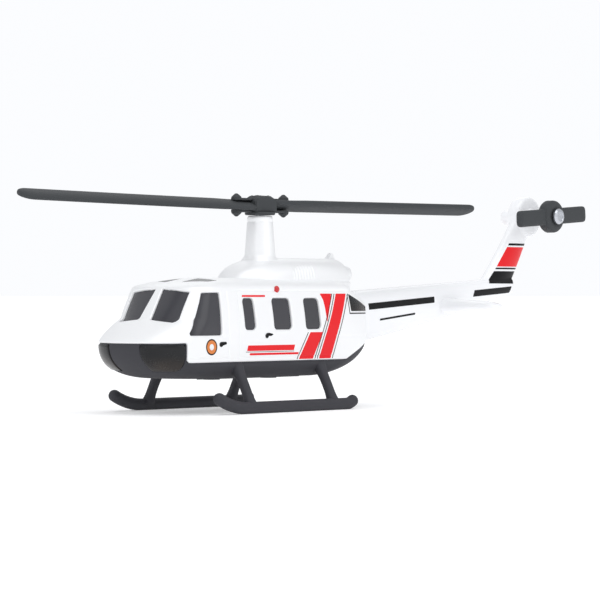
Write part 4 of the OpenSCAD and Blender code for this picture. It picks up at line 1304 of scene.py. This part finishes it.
@dataclass
class Cowling:
    """The engine cowling, its louvres, the mast fairing and what stands on it."""

    width: float = 12
    seat_z: float = 20.9
    foot_z: float = 19.6
    top_z: float = 25.3
    front: float = 8.3
    rear: float = 20.9
    front_top: float = -1
    rear_top: float = 18.2
    middle: float = 9
    nose_depth: float = 9
    mast_z: float = 32.3
    mast_d: float = 5.2
    mast_top_d: float = 4.2

    def relief(self, p: Array, out: Array) -> Array:
        """Heights of the louvres and the foot flange."""
        y, z = p[..., 1], p[..., 2]
        side = np.clip(np.abs(out[..., 0])*1.8 - 0.4, 0, 1)
        ribs = 0.5 + 0.5*np.cos(2*math.pi*(y - 2.0)/0.74)
        h = 0.13*(ribs**1.5 - 0.3)*window_span(y, 1.7, 7.5, 0.2)*window_span(z, 21.7, 24.0, 0.3)*side
        rear = 0.5 + 0.5*np.cos(2*math.pi*(y - 16.9)/0.9)
        h = h + 0.12*(rear**1.5 - 0.3)*window_span(y, 16.4, 20.2, 0.3)*window_span(z, 20.9, 24.0, 0.3)
        step = part_way(21.35, 21.2, z)
        return h + 0.16*step - 0.04*bump(z, 21.42, 0.1)

    def skin(self) -> Grid:
        """The cowling's outside."""
        rise = self.top_z - self.seat_z
        t = np.concatenate([np.arange(self.foot_z - self.seat_z, 0, 0.2)/rise,
                            np.sin(np.linspace(0, math.radians(87.5), 64))])[:, None]
        z = self.seat_z + rise*t
        up = np.clip(t, 0, 1)
        w = self.width/2*swell(up, 3)
        front = -mix(self.front_top, self.front, swell(up, 2))
        rear = mix(self.rear_top, self.rear, swell(up, 2))
        a = np.linspace(0, math.pi/2, 40)[None, :-1]
        ahead, aside = arc(a, 2.2)
        nose_x, nose_y = aside*w, front + self.nose_depth - ahead*self.nose_depth
        start = front + self.nose_depth
        flat = mix(start, self.middle, (np.linspace(0, 1, 111)[None]))
        b = np.linspace(0, math.pi/2, 70)[None, 1:]
        cos_b, sin_b = arc(b, 2.2)
        x = np.concatenate([nose_x, np.broadcast_to(w, flat.shape), cos_b*w], 1)
        y = np.concatenate([nose_y, flat, self.middle + sin_b*(rear - self.middle)], 1)
        x[:, 0] = x[:, -1] = 0
        port = np.stack([x, y, np.broadcast_to(z, x.shape)], 2)
        loop = np.concatenate([port, port[:, -2:0:-1]*np.array([-1, 1, 1])], 1)
        return Grid(loop, True, (True, True)).raised(self.relief)

    def build(self) -> None:
        """Makes the cowling with its mast, and the exhaust and lamp housing."""
        skin = self.skin()
        shape = Mesh(skin.points.reshape(-1, 3), [tuple(f) for f in skin.quads().tolist()])
        r, top = self.mast_d/2, self.mast_top_d/2
        low, high = self.top_z, self.mast_z
        groove = high - 0.95
        at = [float(mix(r, top, (z - low)/(high - low))) for z in (groove - 0.12, groove, groove + 0.12)]
        mast = lathe([(r + 1.2, low - 1.4), (r + 0.5, low - 0.3), (r + 0.25, low - 0.02),
                      (r + 0.1, low + 0.18), (r - 0.02, low + 0.5),
                      (at[0], groove - 0.12), (at[1] - 0.05, groove), (at[2] + 0.03, groove + 0.12),
                      (top + 0.03, high - 0.28), (top - 0.04, high - 0.1), (top - 0.2, high), (0.82, high)],
                     (0, 0, 0), "Z", 96)
        add_piece("engine_cover", shape, WHITE_ENAMEL, Body.AIRFRAME, ["engine_cowling"])
        add_piece("mast_fairing", mast, WHITE_ENAMEL, Body.AIRFRAME, sharp=60)
        pipe_r, bore = 1.35, 0.9
        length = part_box("exhaust_pipe")
        y0, y1 = (length[0].y/MM - AXIS_Y), (length[1].y/MM - AXIS_Y)
        z = (length[0].z + length[1].z)/2/MM
        pipe = ring([(pipe_r, 0), (pipe_r, y1 - y0 - 0.2), (pipe_r - 0.07, y1 - y0 - 0.05),
                     (pipe_r - 0.2, y1 - y0),
                     (bore + 0.12, y1 - y0), (bore, y1 - y0 - 0.12), (bore - 0.1, 1.2), (0.05, 1.0),
                     (0.05, 0)], (0, y0, z), "Y")
        add_piece("exhaust_stub", pipe, WHITE_ENAMEL, Body.AIRFRAME, ["exhaust_pipe"])
        low_b, high_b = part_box("beacon")
        y = (low_b.y + high_b.y)/2/MM - AXIS_Y
        z, top_z, t = low_b.z/MM, high_b.z/MM, (high_b.x - low_b.x)/2/MM
        half = (high_b.y - low_b.y)/2/MM
        fin = bevelled_hull([(x, y - half, z) for x in (-t, t)] + [(x, y + half, z) for x in (-t, t)]
                            + [(x*0.6, y, top_z) for x in (-t, t)] +
                            [(x*0.6, y + half/2, top_z) for x in (-t, t)], 0.18, 4)
        add_piece("cowling_lamp", fin, WHITE_ENAMEL, Body.AIRFRAME, ["beacon"])


def ring(profile: Sequence[tuple[float, float]], centre: Sequence[float], axis: str, steps: int = 72) -> Mesh:
    """A turned solid with a hole along its axis.

    Args:
        profile: (radius, place along the axis), once round the section, counterclockwise.
        centre: where the axis' 0 is.
        axis: "X", "Y" or "Z".
        steps: faces round the axis.

    Returns:
        A closed mesh.
    """
    mesh = lathe(profile, centre, axis, steps)
    n = len(profile)
    faces = mesh.faces[:-2]
    last = (n - 1)*steps
    faces += [(last + i, last + (i + 1) % steps, (i + 1) % steps, i) for i in range(steps)]
    return Mesh(mesh.points, faces)


# ---------------------------------------------------------------- tail


FIN_FOOT, FIN_TOP = 20.0, 33.7


def fin_line(z: float) -> tuple[float, float]:
    """The middle of the fin's chord, and the chord, at a height."""
    t = (z - FIN_FOOT)/(FIN_TOP - FIN_FOOT)
    return float(mix(63.6, 74.1, t**0.85)), float(mix(9.6, 5.6, t**0.8))


def fin_band(low: float, high: float, back: float) -> list[tuple[float, float]]:
    """An outline across the fin between two heights, from behind its leading edge to its trailing edge."""
    corners = []
    for z in (low, high):
        middle, chord = fin_line(z)
        corners.append((middle - chord/2 + back, middle + chord/2 - 0.12, z))
    (a, b, za), (c, d, zc) = corners
    return [(a, za), (b, za), (d, zc), (c, zc)]


@dataclass
class Tail:
    """The boom with its fin and gearbox in one moulding, and the stabilisers."""

    start: float = 17
    length: float = 69.4
    root_w: float = 8
    tip_w: float = 2.7
    root_z: tuple[float, float] = (9.8, 19.4)
    tip_z: tuple[float, float] = (19.4, 22.4)
    sag: float = 0.7
    fin_t: float = 2.4
    axis_y: float = 74.5
    axis_z: float = 33.7
    gearbox_d: float = 7.6
    gearbox_t: float = 2.8
    boss_d: float = 2.8
    port_boss: float = 5
    star_boss: float = 4.7
    span: float = 26.8
    chord: tuple[float, float] = (6.4, 3.8)
    thick: tuple[float, float] = (2.9, 1.2)
    stab_y: float = 48.6
    stab_z: float = 17.15

    def boom(self) -> Mesh:
        """The boom's loft."""
        t = np.linspace(0, 1, 70)[:, None]
        y = mix(self.start, self.length, t)
        low = mix(self.root_z[0], self.tip_z[0], t) - self.sag*4*t*(1 - t)
        high = mix(self.root_z[1], self.tip_z[1], t)
        w = mix(self.root_w, self.tip_w, t)/2
        c, s = arc(np.linspace(0, 2*math.pi, 72, endpoint=False)[None], 2.667)
        points = np.stack([-c*w, np.broadcast_to(y, (70, 72)), (low + high)/2 + s*(high - low)/2], 2)
        return loft(points)

    def fin(self) -> Mesh:
        """The fin's loft."""
        rows = []
        c, s = arc(np.linspace(0, 2*math.pi, 64, endpoint=False), 2.0)
        for z in np.linspace(FIN_FOOT, FIN_TOP, 40):
            middle, chord = fin_line(float(z))
            rows.append(np.stack([np.sign(c)*np.abs(c)**0.8*self.fin_t/2, middle + s*chord/2,
                                  np.full(64, z)], 1))
        return loft(np.array(rows))

    def gearbox(self) -> Mesh:
        """The gearbox disc and the bosses either side of it."""
        r, h = self.gearbox_d/2, self.gearbox_t/2
        shoulder = 0.75
        disc_shape = lathe([(0.05, -h), (r - shoulder, -h), (r - 0.35*shoulder, -h + 0.12),
                            (r - 0.08, -h + 0.38), (r, -h + 0.75), (r, h - 0.75),
                            (r - 0.08, h - 0.38), (r - 0.35*shoulder, h - 0.12), (r - shoulder, h),
                            (0.05, h)],
                           (0, self.axis_y, self.axis_z), "X", 96)
        b = self.boss_d/2
        boss = lathe([(0.05, -self.star_boss), (b - 0.3, -self.star_boss),
                      (b - 0.06, -self.star_boss + 0.12), (b, -self.star_boss + 0.35),
                      (b, self.port_boss - 0.3), (b - 0.2, self.port_boss), (0.05, self.port_boss)],
                     (0, self.axis_y, self.axis_z), "X", 64)
        return disc_shape.joined(boss)

    def stabiliser(self) -> Mesh:
        """The port stabiliser, thick at its root and round at its tip."""
        tip = self.span/2
        inner = 1.0
        t = np.concatenate([np.linspace(0, 0.86, 30),
                            0.86 + 0.14*np.sin(np.linspace(0.08, math.pi/2*0.985, 14))])[:, None]
        x = mix(inner, tip, t)
        end = swell(part_way(0.86, 1.0, t), 2.2)
        flare = (1 - part_way(0, 0.3, t))**2
        chord = mix(self.chord[0], self.chord[1], t)*(0.35 + 0.65*end) + 0.9*flare
        thick = mix(self.thick[0], self.thick[1], t)*(0.25 + 0.75*end) + 0.3*flare
        c, s = arc(np.linspace(0, 2*math.pi, 48, endpoint=False)[None], 2.15)
        points = np.stack([np.broadcast_to(x, (len(t), 48)), self.stab_y + c*chord/2,
                           self.stab_z + s*thick/2], 2)
        return loft(points)

    def build(self) -> None:
        """Makes the tail moulding and the stabilisers."""
        solid = self.boom().joined(self.fin()).joined(self.gearbox())
        casting = fused(solid, 0.15, 5)
        add_piece("tail_moulding", casting, WHITE_PLASTIC, Body.AIRFRAME, ["tail_boom"], sharp=70)
        self.target = BVHTree.FromPolygons(casting.points.tolist(), casting.faces)
        port = self.stabiliser()
        add_piece("stabiliser_vane_port", port, WHITE_PLASTIC, Body.AIRFRAME, ["stabiliser_port"])
        add_piece("stabiliser_vane_starboard", port.mirrored(), WHITE_PLASTIC, Body.AIRFRAME,
                  ["stabiliser_starboard"])


# ---------------------------------------------------------------- undercarriage


@dataclass
class Undercarriage:
    """The skids and their struts."""

    track: float = 23.4
    tube_d: float = 2
    flat: float = 0.08
    front: float = -16
    rear: float = 8.5
    toe: tuple[float, float] = (14.8, 27)
    heel: tuple[float, float] = (3, 32)
    strut_y: tuple[float, float] = (-15, 5.4)
    top_track: float = 16.2

    def skid(self) -> Mesh:
        """The port skid, with its turned-up toe and heel and a flat along its foot."""
        r, z = self.tube_d/2, self.tube_d/2 - self.flat
        toe_r, toe_a = self.toe
        heel_r, heel_a = self.heel
        path, ways = [], []
        for a in np.radians(np.linspace(toe_a, 0, 20)):
            path.append((self.front - toe_r*math.sin(a), z + toe_r*(1 - math.cos(a))))
            ways.append(-a)
        for y in np.linspace(self.front, self.rear, 40)[1:-1]:
            path.append((y, z))
            ways.append(0)
        for a in np.radians(np.linspace(0, heel_a, 14)):
            path.append((self.rear + heel_r*math.sin(a), z + heel_r*(1 - math.cos(a))))
            ways.append(a)
        lead = [(path[0], ways[0], -t) for t in np.linspace(90, 8, 12)]
        trail = [(path[-1], ways[-1], t) for t in np.linspace(8, 90, 12)]
        rings, c = [], np.linspace(0, 2*math.pi, 40, endpoint=False)
        for (y, h), a, t in lead + [(p, w, 0) for p, w in zip(path, ways)] + trail:
            size = r*max(math.cos(math.radians(t)), 0.02)
            push = r*math.sin(math.radians(t))
            cy, cz = y + push*math.cos(a), h + push*math.sin(a)
            rings.append(np.stack([self.track/2 - np.cos(c)*size, cy - np.sin(c)*size*math.sin(a),
                                   cz + np.sin(c)*size*math.cos(a)], 1))
        mesh = loft(np.array(rings))
        mesh.points[:, 2] = np.maximum(mesh.points[:, 2], 0)
        return mesh

    def strut(self, y: float) -> Mesh:
        """The port strut at a place along the model, flared at both ends."""
        foot = np.array([self.track/2, y, self.tube_d/2 - self.flat - 0.2])
        head = np.array([self.top_track/2 - 0.25, y, FORM.seam_z - 0.1])
        t = np.linspace(0, 1, 40)
        path = foot + (head - foot)*t[:, None]
        path[:, 0] += 0.25*np.sin(math.pi*t)
        way = np.gradient(path, axis=0)
        way /= np.linalg.norm(way, axis=1, keepdims=True)
        across = np.tile([0, 1.0, 0], (len(t), 1))
        up = np.cross(way, across)
        flare = np.exp(-((t - 0.05)/0.14)**2)*0.3 + np.exp(-((1 - t)/0.22)**2)*0.45
        size = np.stack([0.82 + flare, 0.72 + 0.6*flare], 1)
        return tube(path, across, up, size, 2.7, 40)

    def build(self) -> None:
        """Makes both skids and all four struts."""
        skid = self.skid()
        add_piece("skid_tube_port", skid, BASE_BLACK, Body.AIRFRAME, ["skid_port"])
        add_piece("skid_tube_starboard", skid.mirrored(), BASE_BLACK, Body.AIRFRAME, ["skid_starboard"])
        for end, y in zip(("front", "rear"), self.strut_y):
            leg = self.strut(y)
            add_piece(f"strut_leg_{end}_port", leg, BASE_BLACK, Body.AIRFRAME, [f"strut_{end}_port"])
            add_piece(f"strut_leg_{end}_starboard", leg.mirrored(), BASE_BLACK, Body.AIRFRAME,
                      [f"strut_{end}_starboard"])


# ---------------------------------------------------------------- rotors


@dataclass
class MainRotor:
    """The hub, its blades and the nuts that hold them."""

    radius: float = 48
    yaw: float = 10
    z: float = 34.05
    chord: float = 4.2
    thick: float = 1.1
    belly: float = 0.15    # extra thickness past the grips
    pitch: float = 18
    rise: tuple[float, float] = (0.9, 0.1)
    hub_z: float = 32.45
    hub: tuple[float, float, float] = (3.6, 4.6, 3.3)
    plate_d: float = 5.1
    reach: float = 5.9
    bolt: float = 5
    gap: float = 0.2
    grip: float = 0.45
    grip_half: float = 0.9

    def hub_block(self) -> Mesh:
        """The hub with its plate, drilled for the pin."""
        w, l, h = self.hub[0]/2, self.hub[1]/2, self.hub[2]
        foot, top = self.hub_z + 0.5, self.hub_z + h
        corners = [(x, y, foot) for x in (-w, w) for y in (-l, l)]
        corners += [(x, y, top - 0.85) for x in (-w, w) for y in (-l, l)]
        corners += [(x, 0, top - 0.2) for x in (-w + 0.15, w - 0.15)]
        corners += [(x, y, top) for x in (-w + 0.85, w - 0.85) for y in (-l + 0.9, l - 0.9)]
        block = bevelled_hull(corners, 0.16)
        plate = lathe([(0.05, self.hub_z), (self.plate_d/2 - 0.15, self.hub_z),
                       (self.plate_d/2, self.hub_z + 0.12),
                       (self.plate_d/2, self.hub_z + 0.4), (self.plate_d/2 - 0.15, self.hub_z + 0.52),
                       (0.05, self.hub_z + 0.52)], (0, 0, 0), "Z")
        drill = lathe([(0.86, self.hub_z - 1), (0.86, top - 0.9), (1.32, top - 0.9), (1.32, top + 1)],
                      (0, 0, 0), "Z", 64)
        return drilled(block, drill).joined(drilled(plate, drill))

    def grips(self) -> Mesh:
        """The plates above and below each blade's root, with round ends."""
        parts = None
        for way in (-1, 1):
            for z in (self.z - self.thick/2 - self.gap - self.grip/2,
                      self.z + self.thick/2 + self.gap + self.grip/2):
                r = self.grip_half
                y = np.concatenate([np.linspace(1.6, self.reach - r, 12),
                                    self.reach - r + r*np.sin(np.linspace(0.1, 1.54, 14))])
                over = np.maximum(y - (self.reach - r), 0)
                half = np.sqrt(np.maximum(r**2 - over**2, 0.003))
                path = np.stack([np.zeros_like(y), y, np.full_like(y, z)], 1)
                size = np.stack([half, np.minimum(self.grip/2, half)], 1)
                bar = tube(path, np.tile([-1.0, 0, 0], (len(y), 1)), np.tile([0, 0, 1.0], (len(y), 1)), size,
                           5, 48)
                if way < 0:
                    bar = bar.turned(180)
                parts = bar if parts is None else parts.joined(bar)
        return parts

    def nuts(self) -> Mesh:
        """The peaked nuts above and below each grip."""
        stack = self.thick/2 + self.gap + self.grip
        parts = None
        for way in (-1, 1):
            for flip in (-1, 1):
                profile = [(0.05, 0.73), (0.18, 0.71), (0.3, 0.64), (0.8, 0.2), (0.86, 0.12), (0.86, -0.12),
                           (0.05, -0.12)]
                nut = lathe([(r, flip*(stack + h)) for r, h in profile], (0, way*self.bolt, self.z), "Z", 8)
                nut = _flipped(nut) if flip > 0 else nut
                parts = nut if parts is None else parts.joined(nut)
        return parts

    def blade(self, rise: float) -> Mesh:
        """A blade along +Y, twisted to its pitch, with a round tip.

        Args:
            rise: how far its tip stands above the hub.

        Returns:
            The mesh.
        """
        end = self.radius - self.chord/2
        radii = np.concatenate([[1.9, 2.0, 2.15, 2.4], np.linspace(3, end, 70),
                                end + self.chord/2*np.sin(np.linspace(0.06, math.radians(87), 22))])
        a = np.linspace(0, 2*math.pi, 56, endpoint=False)
        c, s = np.cos(a), np.sin(a)
        rings = []
        for r in radii:
            over = max(0.0, r - end)
            half = max(0.12, math.sqrt(max(0.0, self.chord**2/4 - over**2)))
            wide = half*float(mix(0.8, 1, part_way(1.9, 2.4, r)))
            thick = self.thick + self.belly*float(part_way(self.reach, self.reach + 3, r))
            t = thick*float(mix(0.45, 1, half*2/self.chord))/2
            p = math.radians(self.pitch)
            x = np.sign(c)*np.abs(c)**0.7*wide
            z = np.sign(s)*np.abs(s)**0.8*t
            z = z + 0.12*t*(1 - (x/max(wide, 0.1))**2)
            lift = rise*(r/self.radius)**1.2
            rings.append(np.stack([x*math.cos(p) - z*math.sin(p), np.full_like(x, r),
                                   self.z + lift + x*math.sin(p) + z*math.cos(p)], 1))
        return _flipped(loft(np.array(rings)))

    def build(self) -> None:
        """Makes the hub, grips, nuts and both blades."""
        add_piece("hub_block", self.hub_block().turned(-self.yaw), ROTOR_BLACK, Body.MAIN_ROTOR,
                  ["rotor_hub"], sharp=35)
        add_piece("blade_grips", self.grips().turned(-self.yaw), ROTOR_BLACK, Body.MAIN_ROTOR)
        add_piece("blade_nuts", self.nuts().turned(-self.yaw), ROTOR_BLACK, Body.MAIN_ROTOR, ["blade_bolts"],
                  sharp=30)
        add_piece("rotor_blade_rear", self.blade(self.rise[1]).turned(-self.yaw), ROTOR_BLACK,
                  Body.MAIN_ROTOR, ["blade_rear"], sharp=60)
        add_piece("rotor_blade_front", self.blade(self.rise[0]).turned(180 - self.yaw), ROTOR_BLACK,
                  Body.MAIN_ROTOR, ["blade_front"], sharp=60)


@dataclass
class TailRotor:
    """The tail rotor: a domed hub and two thick blades."""

    radius: float = 10.35
    tilt: float = 4
    width: float = 3
    thick: float = 1.5
    hub_d: float = 6
    bore: float = 0.76

    def build(self) -> None:
        """Makes the hub with its blades."""
        low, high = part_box("tail_rotor")
        x0, x1 = low.x/MM, high.x/MM
        pin_low, pin_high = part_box("tail_rotor_pin")
        centre = (0.0, (pin_low.y + pin_high.y)/2/MM - AXIS_Y, (pin_low.z + pin_high.z)/2/MM)
        r = self.hub_d/2
        hub = ring([(self.bore, x0), (r - 0.5, x0), (r - 0.15, x0 + 0.1), (r, x0 + 0.35), (r, x1 - 0.75),
                    (r - 0.06, x1 - 0.5),
                    (r - 0.22, x1 - 0.28), (r - 0.5, x1 - 0.12), (r - 0.85, x1), (1.75, x1),
                    (1.62, x1 - 0.08), (self.bore, x1 - 0.08)],
                   centre, "X", 96)
        reach = self.radius
        y = np.concatenate([np.linspace(1.0, reach - 0.9, 20),
                            reach - 0.9 + 0.9*np.sin(np.linspace(0.1, math.pi/2, 14))])
        end = swell(part_way(reach - 0.9, reach, y), 2.2)
        size = np.stack([0.9 + (self.width/2 - 0.9)*end, 0.3 + (self.thick/2 - 0.3)*end], 1)
        middle = (x0 + x1)/2
        path = np.stack([np.full_like(y, middle), y, np.zeros_like(y)], 1)
        bar = tube(path, np.tile([0, 0, 1.0], (len(y), 1)), np.tile([1.0, 0, 0], (len(y), 1)), size, 4, 48)
        other = Mesh(bar.points*np.array([1, -1, -1]), bar.faces)
        a = math.radians(self.tilt)
        bars = bar.joined(other)
        bx, by, bz = bars.points.T
        bars = Mesh(np.stack([bx, by*math.cos(a) - bz*math.sin(a), by*math.sin(a) + bz*math.cos(a)], 1) +
                    np.array(centre), bars.faces)
        add_piece("tail_rotor_hub", hub, ROTOR_BLACK, Body.TAIL_ROTOR, ["tail_rotor"])
        add_piece("tail_rotor_blades", bars, ROTOR_BLACK, Body.TAIL_ROTOR)


@dataclass
class Pins:
    """The steel pins and rivets and the side lamps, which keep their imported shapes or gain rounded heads."""

    def build(self) -> None:
        """Dresses the carried-over nodes and makes the tail pin's faceted head."""
        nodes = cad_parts
        for name, finish in (("main_rotor_pin", PIN_STEEL), ("front_rivet", PIN_STEEL),
                             ("rear_rivet", PIN_STEEL),
                             ("front_post", WHITE_ENAMEL), ("rear_post", WHITE_ENAMEL)):
            dress_node(nodes[name], finish)
        low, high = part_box("tail_rotor_pin")
        y, z = (low.y + high.y)/2/MM - AXIS_Y, (low.z + high.z)/2/MM
        x0, x1 = low.x/MM, high.x/MM
        head = x1 - 0.8
        pin = lathe([(0.05, x0), (0.7, x0), (0.7, head), (1.38, head), (1.45, head + 0.08),
                     (1.45, head + 0.42), (1.3, x1 - 0.12),
                     (1.02, x1), (0.92, x1), (0.86, x1 - 0.1), (0.05, x1 - 0.14)], (0, y, z), "X", 96)
        add_piece("tail_pin_capped", pin, PIN_STEEL_ACROSS, Body.AIRFRAME, ["tail_rotor_pin"], sharp=28)
        for side in ("port", "starboard"):
            low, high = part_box(f"nav_light_{side}")
            y, z = (low.y + high.y)/2/MM - AXIS_Y, (low.z + high.z)/2/MM
            inner, outer = sorted((low.x/MM, high.x/MM), key=abs)
            way = 1 if outer > 0 else -1
            lamp = lathe([(0.58, inner), (0.58, inner + way*0.1), (0.52, inner + way*0.24),
                          (0.38, inner + way*0.36),
                          (0.2, outer - way*0.02), (0.03, outer)], (0, y, z), "X", 40)
            lamp = lamp if way > 0 else _flipped(lamp)
            add_piece(f"side_lamp_{side}", lamp, RED_PAINT, Body.AIRFRAME, [f"nav_light_{side}"])


def dress_node(obj: bpy.types.Object, finish: Finish) -> None:
    """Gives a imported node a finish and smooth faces, leaving its shape alone."""
    obj.data.materials.clear()
    obj.data.materials.append(finish.material())
    obj.data.polygons.foreach_set("use_smooth", [True]*len(obj.data.polygons))
    obj.data.set_sharp_from_angle(angle=math.radians(35))
    log.info("%s: dressed in %s", obj.name, finish.name)


# ---------------------------------------------------------------- studio


@dataclass
class Studio:
    """The floor, the soft lights and the camera."""

    azimuth: float = 41.8
    distance: float = 458.6
    height: float = 18.95
    lens: float = 164.28
    turn: float = 0.837
    air: float = 0.74
    tip: float = 0.09
    fade: tuple[float, float] = (0.2, 1.2)      # metres over which the floor brightens
    glow: tuple[float, float] = (0.24, 0.6)     # its own light, near and far

    def floor(self) -> None:
        """A plain pale floor that fades into the backdrop's tone."""
        rings = [0.0, 0.15, 0.4, 0.9, 2.0, 6.0, 20.0, 60.0]
        steps = 64
        points = [(0, 0, 0)] + [(r*math.cos(2*math.pi*i/steps), r*math.sin(2*math.pi*i/steps), 0)
                                for r in rings[1:] for i in range(steps)]
        faces = [(0, 1 + i, 1 + (i + 1) % steps) for i in range(steps)]
        for k in range(len(rings) - 2):
            a, b = 1 + k*steps, 1 + (k + 1)*steps
            faces += [(a + i, b + i, b + (i + 1) % steps, a + (i + 1) % steps) for i in range(steps)]
        data = bpy.data.meshes.new("studio_floor")
        data.from_pydata(points, [], faces)
        floor = bpy.data.objects.new("studio_floor", data)
        bpy.context.scene.collection.objects.link(floor)
        material = bpy.data.materials.new("pale_floor")
        material.use_nodes = True
        wires = Wiring(material.node_tree)
        shader = material.node_tree.nodes["Principled BSDF"]
        shader.inputs["Specular IOR Level"].default_value = 0.1
        shader.inputs["Emission Color"].default_value = (1, 1, 1, 1)
        tone = _noise(wires, 30.0, 3)
        wires.tree.links.new(wires.blend(wires.between(tone, 0.3, 0.7), (0.9, 0.9, 0.905),
                                         (0.92, 0.92, 0.922)), shader.inputs["Base Color"])
        wires.tree.links.new(wires.between(tone, 0, 1, 0.75, 0.85), shader.inputs["Roughness"])
        place = wires.node("ShaderNodeNewGeometry").outputs["Position"]
        reach = wires.node("ShaderNodeVectorMath", {0: place}, operation="LENGTH").outputs["Value"]
        wires.tree.links.new(wires.between(reach, *self.fade, *self.glow), shader.inputs["Emission Strength"])
        data.materials.append(material)

    def light(self, name: str, place: tuple[float, float, float], size: float, power: float,
              aim: tuple[float, float, float] = (0, 0, 0.02)) -> None:
        """Adds a soft square light.

        Args:
            name: its name.
            place: where it stands, in metres.
            size: its width, in metres.
            power: its power, in watts.
            aim: the point it faces, in metres.
        """
        lamp = bpy.data.lights.new(name, "AREA")
        lamp.size, lamp.energy = size, power
        obj = bpy.data.objects.new(name, lamp)
        obj.location = place
        obj.rotation_euler = (Vector(aim) - Vector(place)).to_track_quat("-Z", "Y").to_euler()
        bpy.context.scene.collection.objects.link(obj)

    def camera(self) -> None:
        """Puts the camera level with the model, off its port bow."""
        a = math.radians(self.azimuth)
        data = bpy.data.cameras.new("viewer")
        data.lens, data.sensor_width = self.lens, 36
        data.clip_start, data.clip_end = 0.01, 200
        camera = bpy.data.objects.new("viewer", data)
        camera.location = (self.distance*math.sin(a)*MM, (AXIS_Y - self.distance*math.cos(a))*MM,
                           self.height*MM)
        camera.rotation_euler = (math.radians(90 - self.tip), 0, math.radians(self.azimuth - self.turn))
        bpy.context.scene.collection.objects.link(camera)
        bpy.context.scene.camera = camera

    def build(self) -> None:
        """Sets up the whole studio."""
        self.floor()
        world = bpy.data.worlds.new("studio_air")
        world.use_nodes = True
        world.node_tree.nodes["Background"].inputs["Color"].default_value = (0.97, 0.98, 1, 1)
        wires = Wiring(world.node_tree)
        seen = wires.node("ShaderNodeLightPath").outputs["Is Camera Ray"]
        world.node_tree.links.new(wires.between(seen, 0, 1, self.air, 1.0),
                                  world.node_tree.nodes["Background"].inputs["Strength"])
        bpy.context.scene.world = world
        bpy.context.scene.view_settings.view_transform = "Standard"
        self.light("key_overhead", (0.15, -0.2, 0.7), 0.6, 1.5)
        self.light("side_port", (0.7, 0.15, 0.35), 0.5, 0.7)
        self.light("front_fill", (0.05, -0.8, 0.25), 0.5, 0.5)
        self.light("back_rim", (-0.5, 0.5, 0.5), 0.5, 0.4)
        self.camera()


def main() -> None:
    """Builds every sub-assembly in order."""
    Studio().build()
    cabin, tail = Cabin(), Tail()
    cabin.build()
    Base().build()
    Cowling().build()
    tail.build()
    Undercarriage().build()
    MainRotor().build()
    TailRotor().build()
    Pins().build()
    Livery().build(cabin.target, tail.target)


if __name__ == "__main__":
    main()
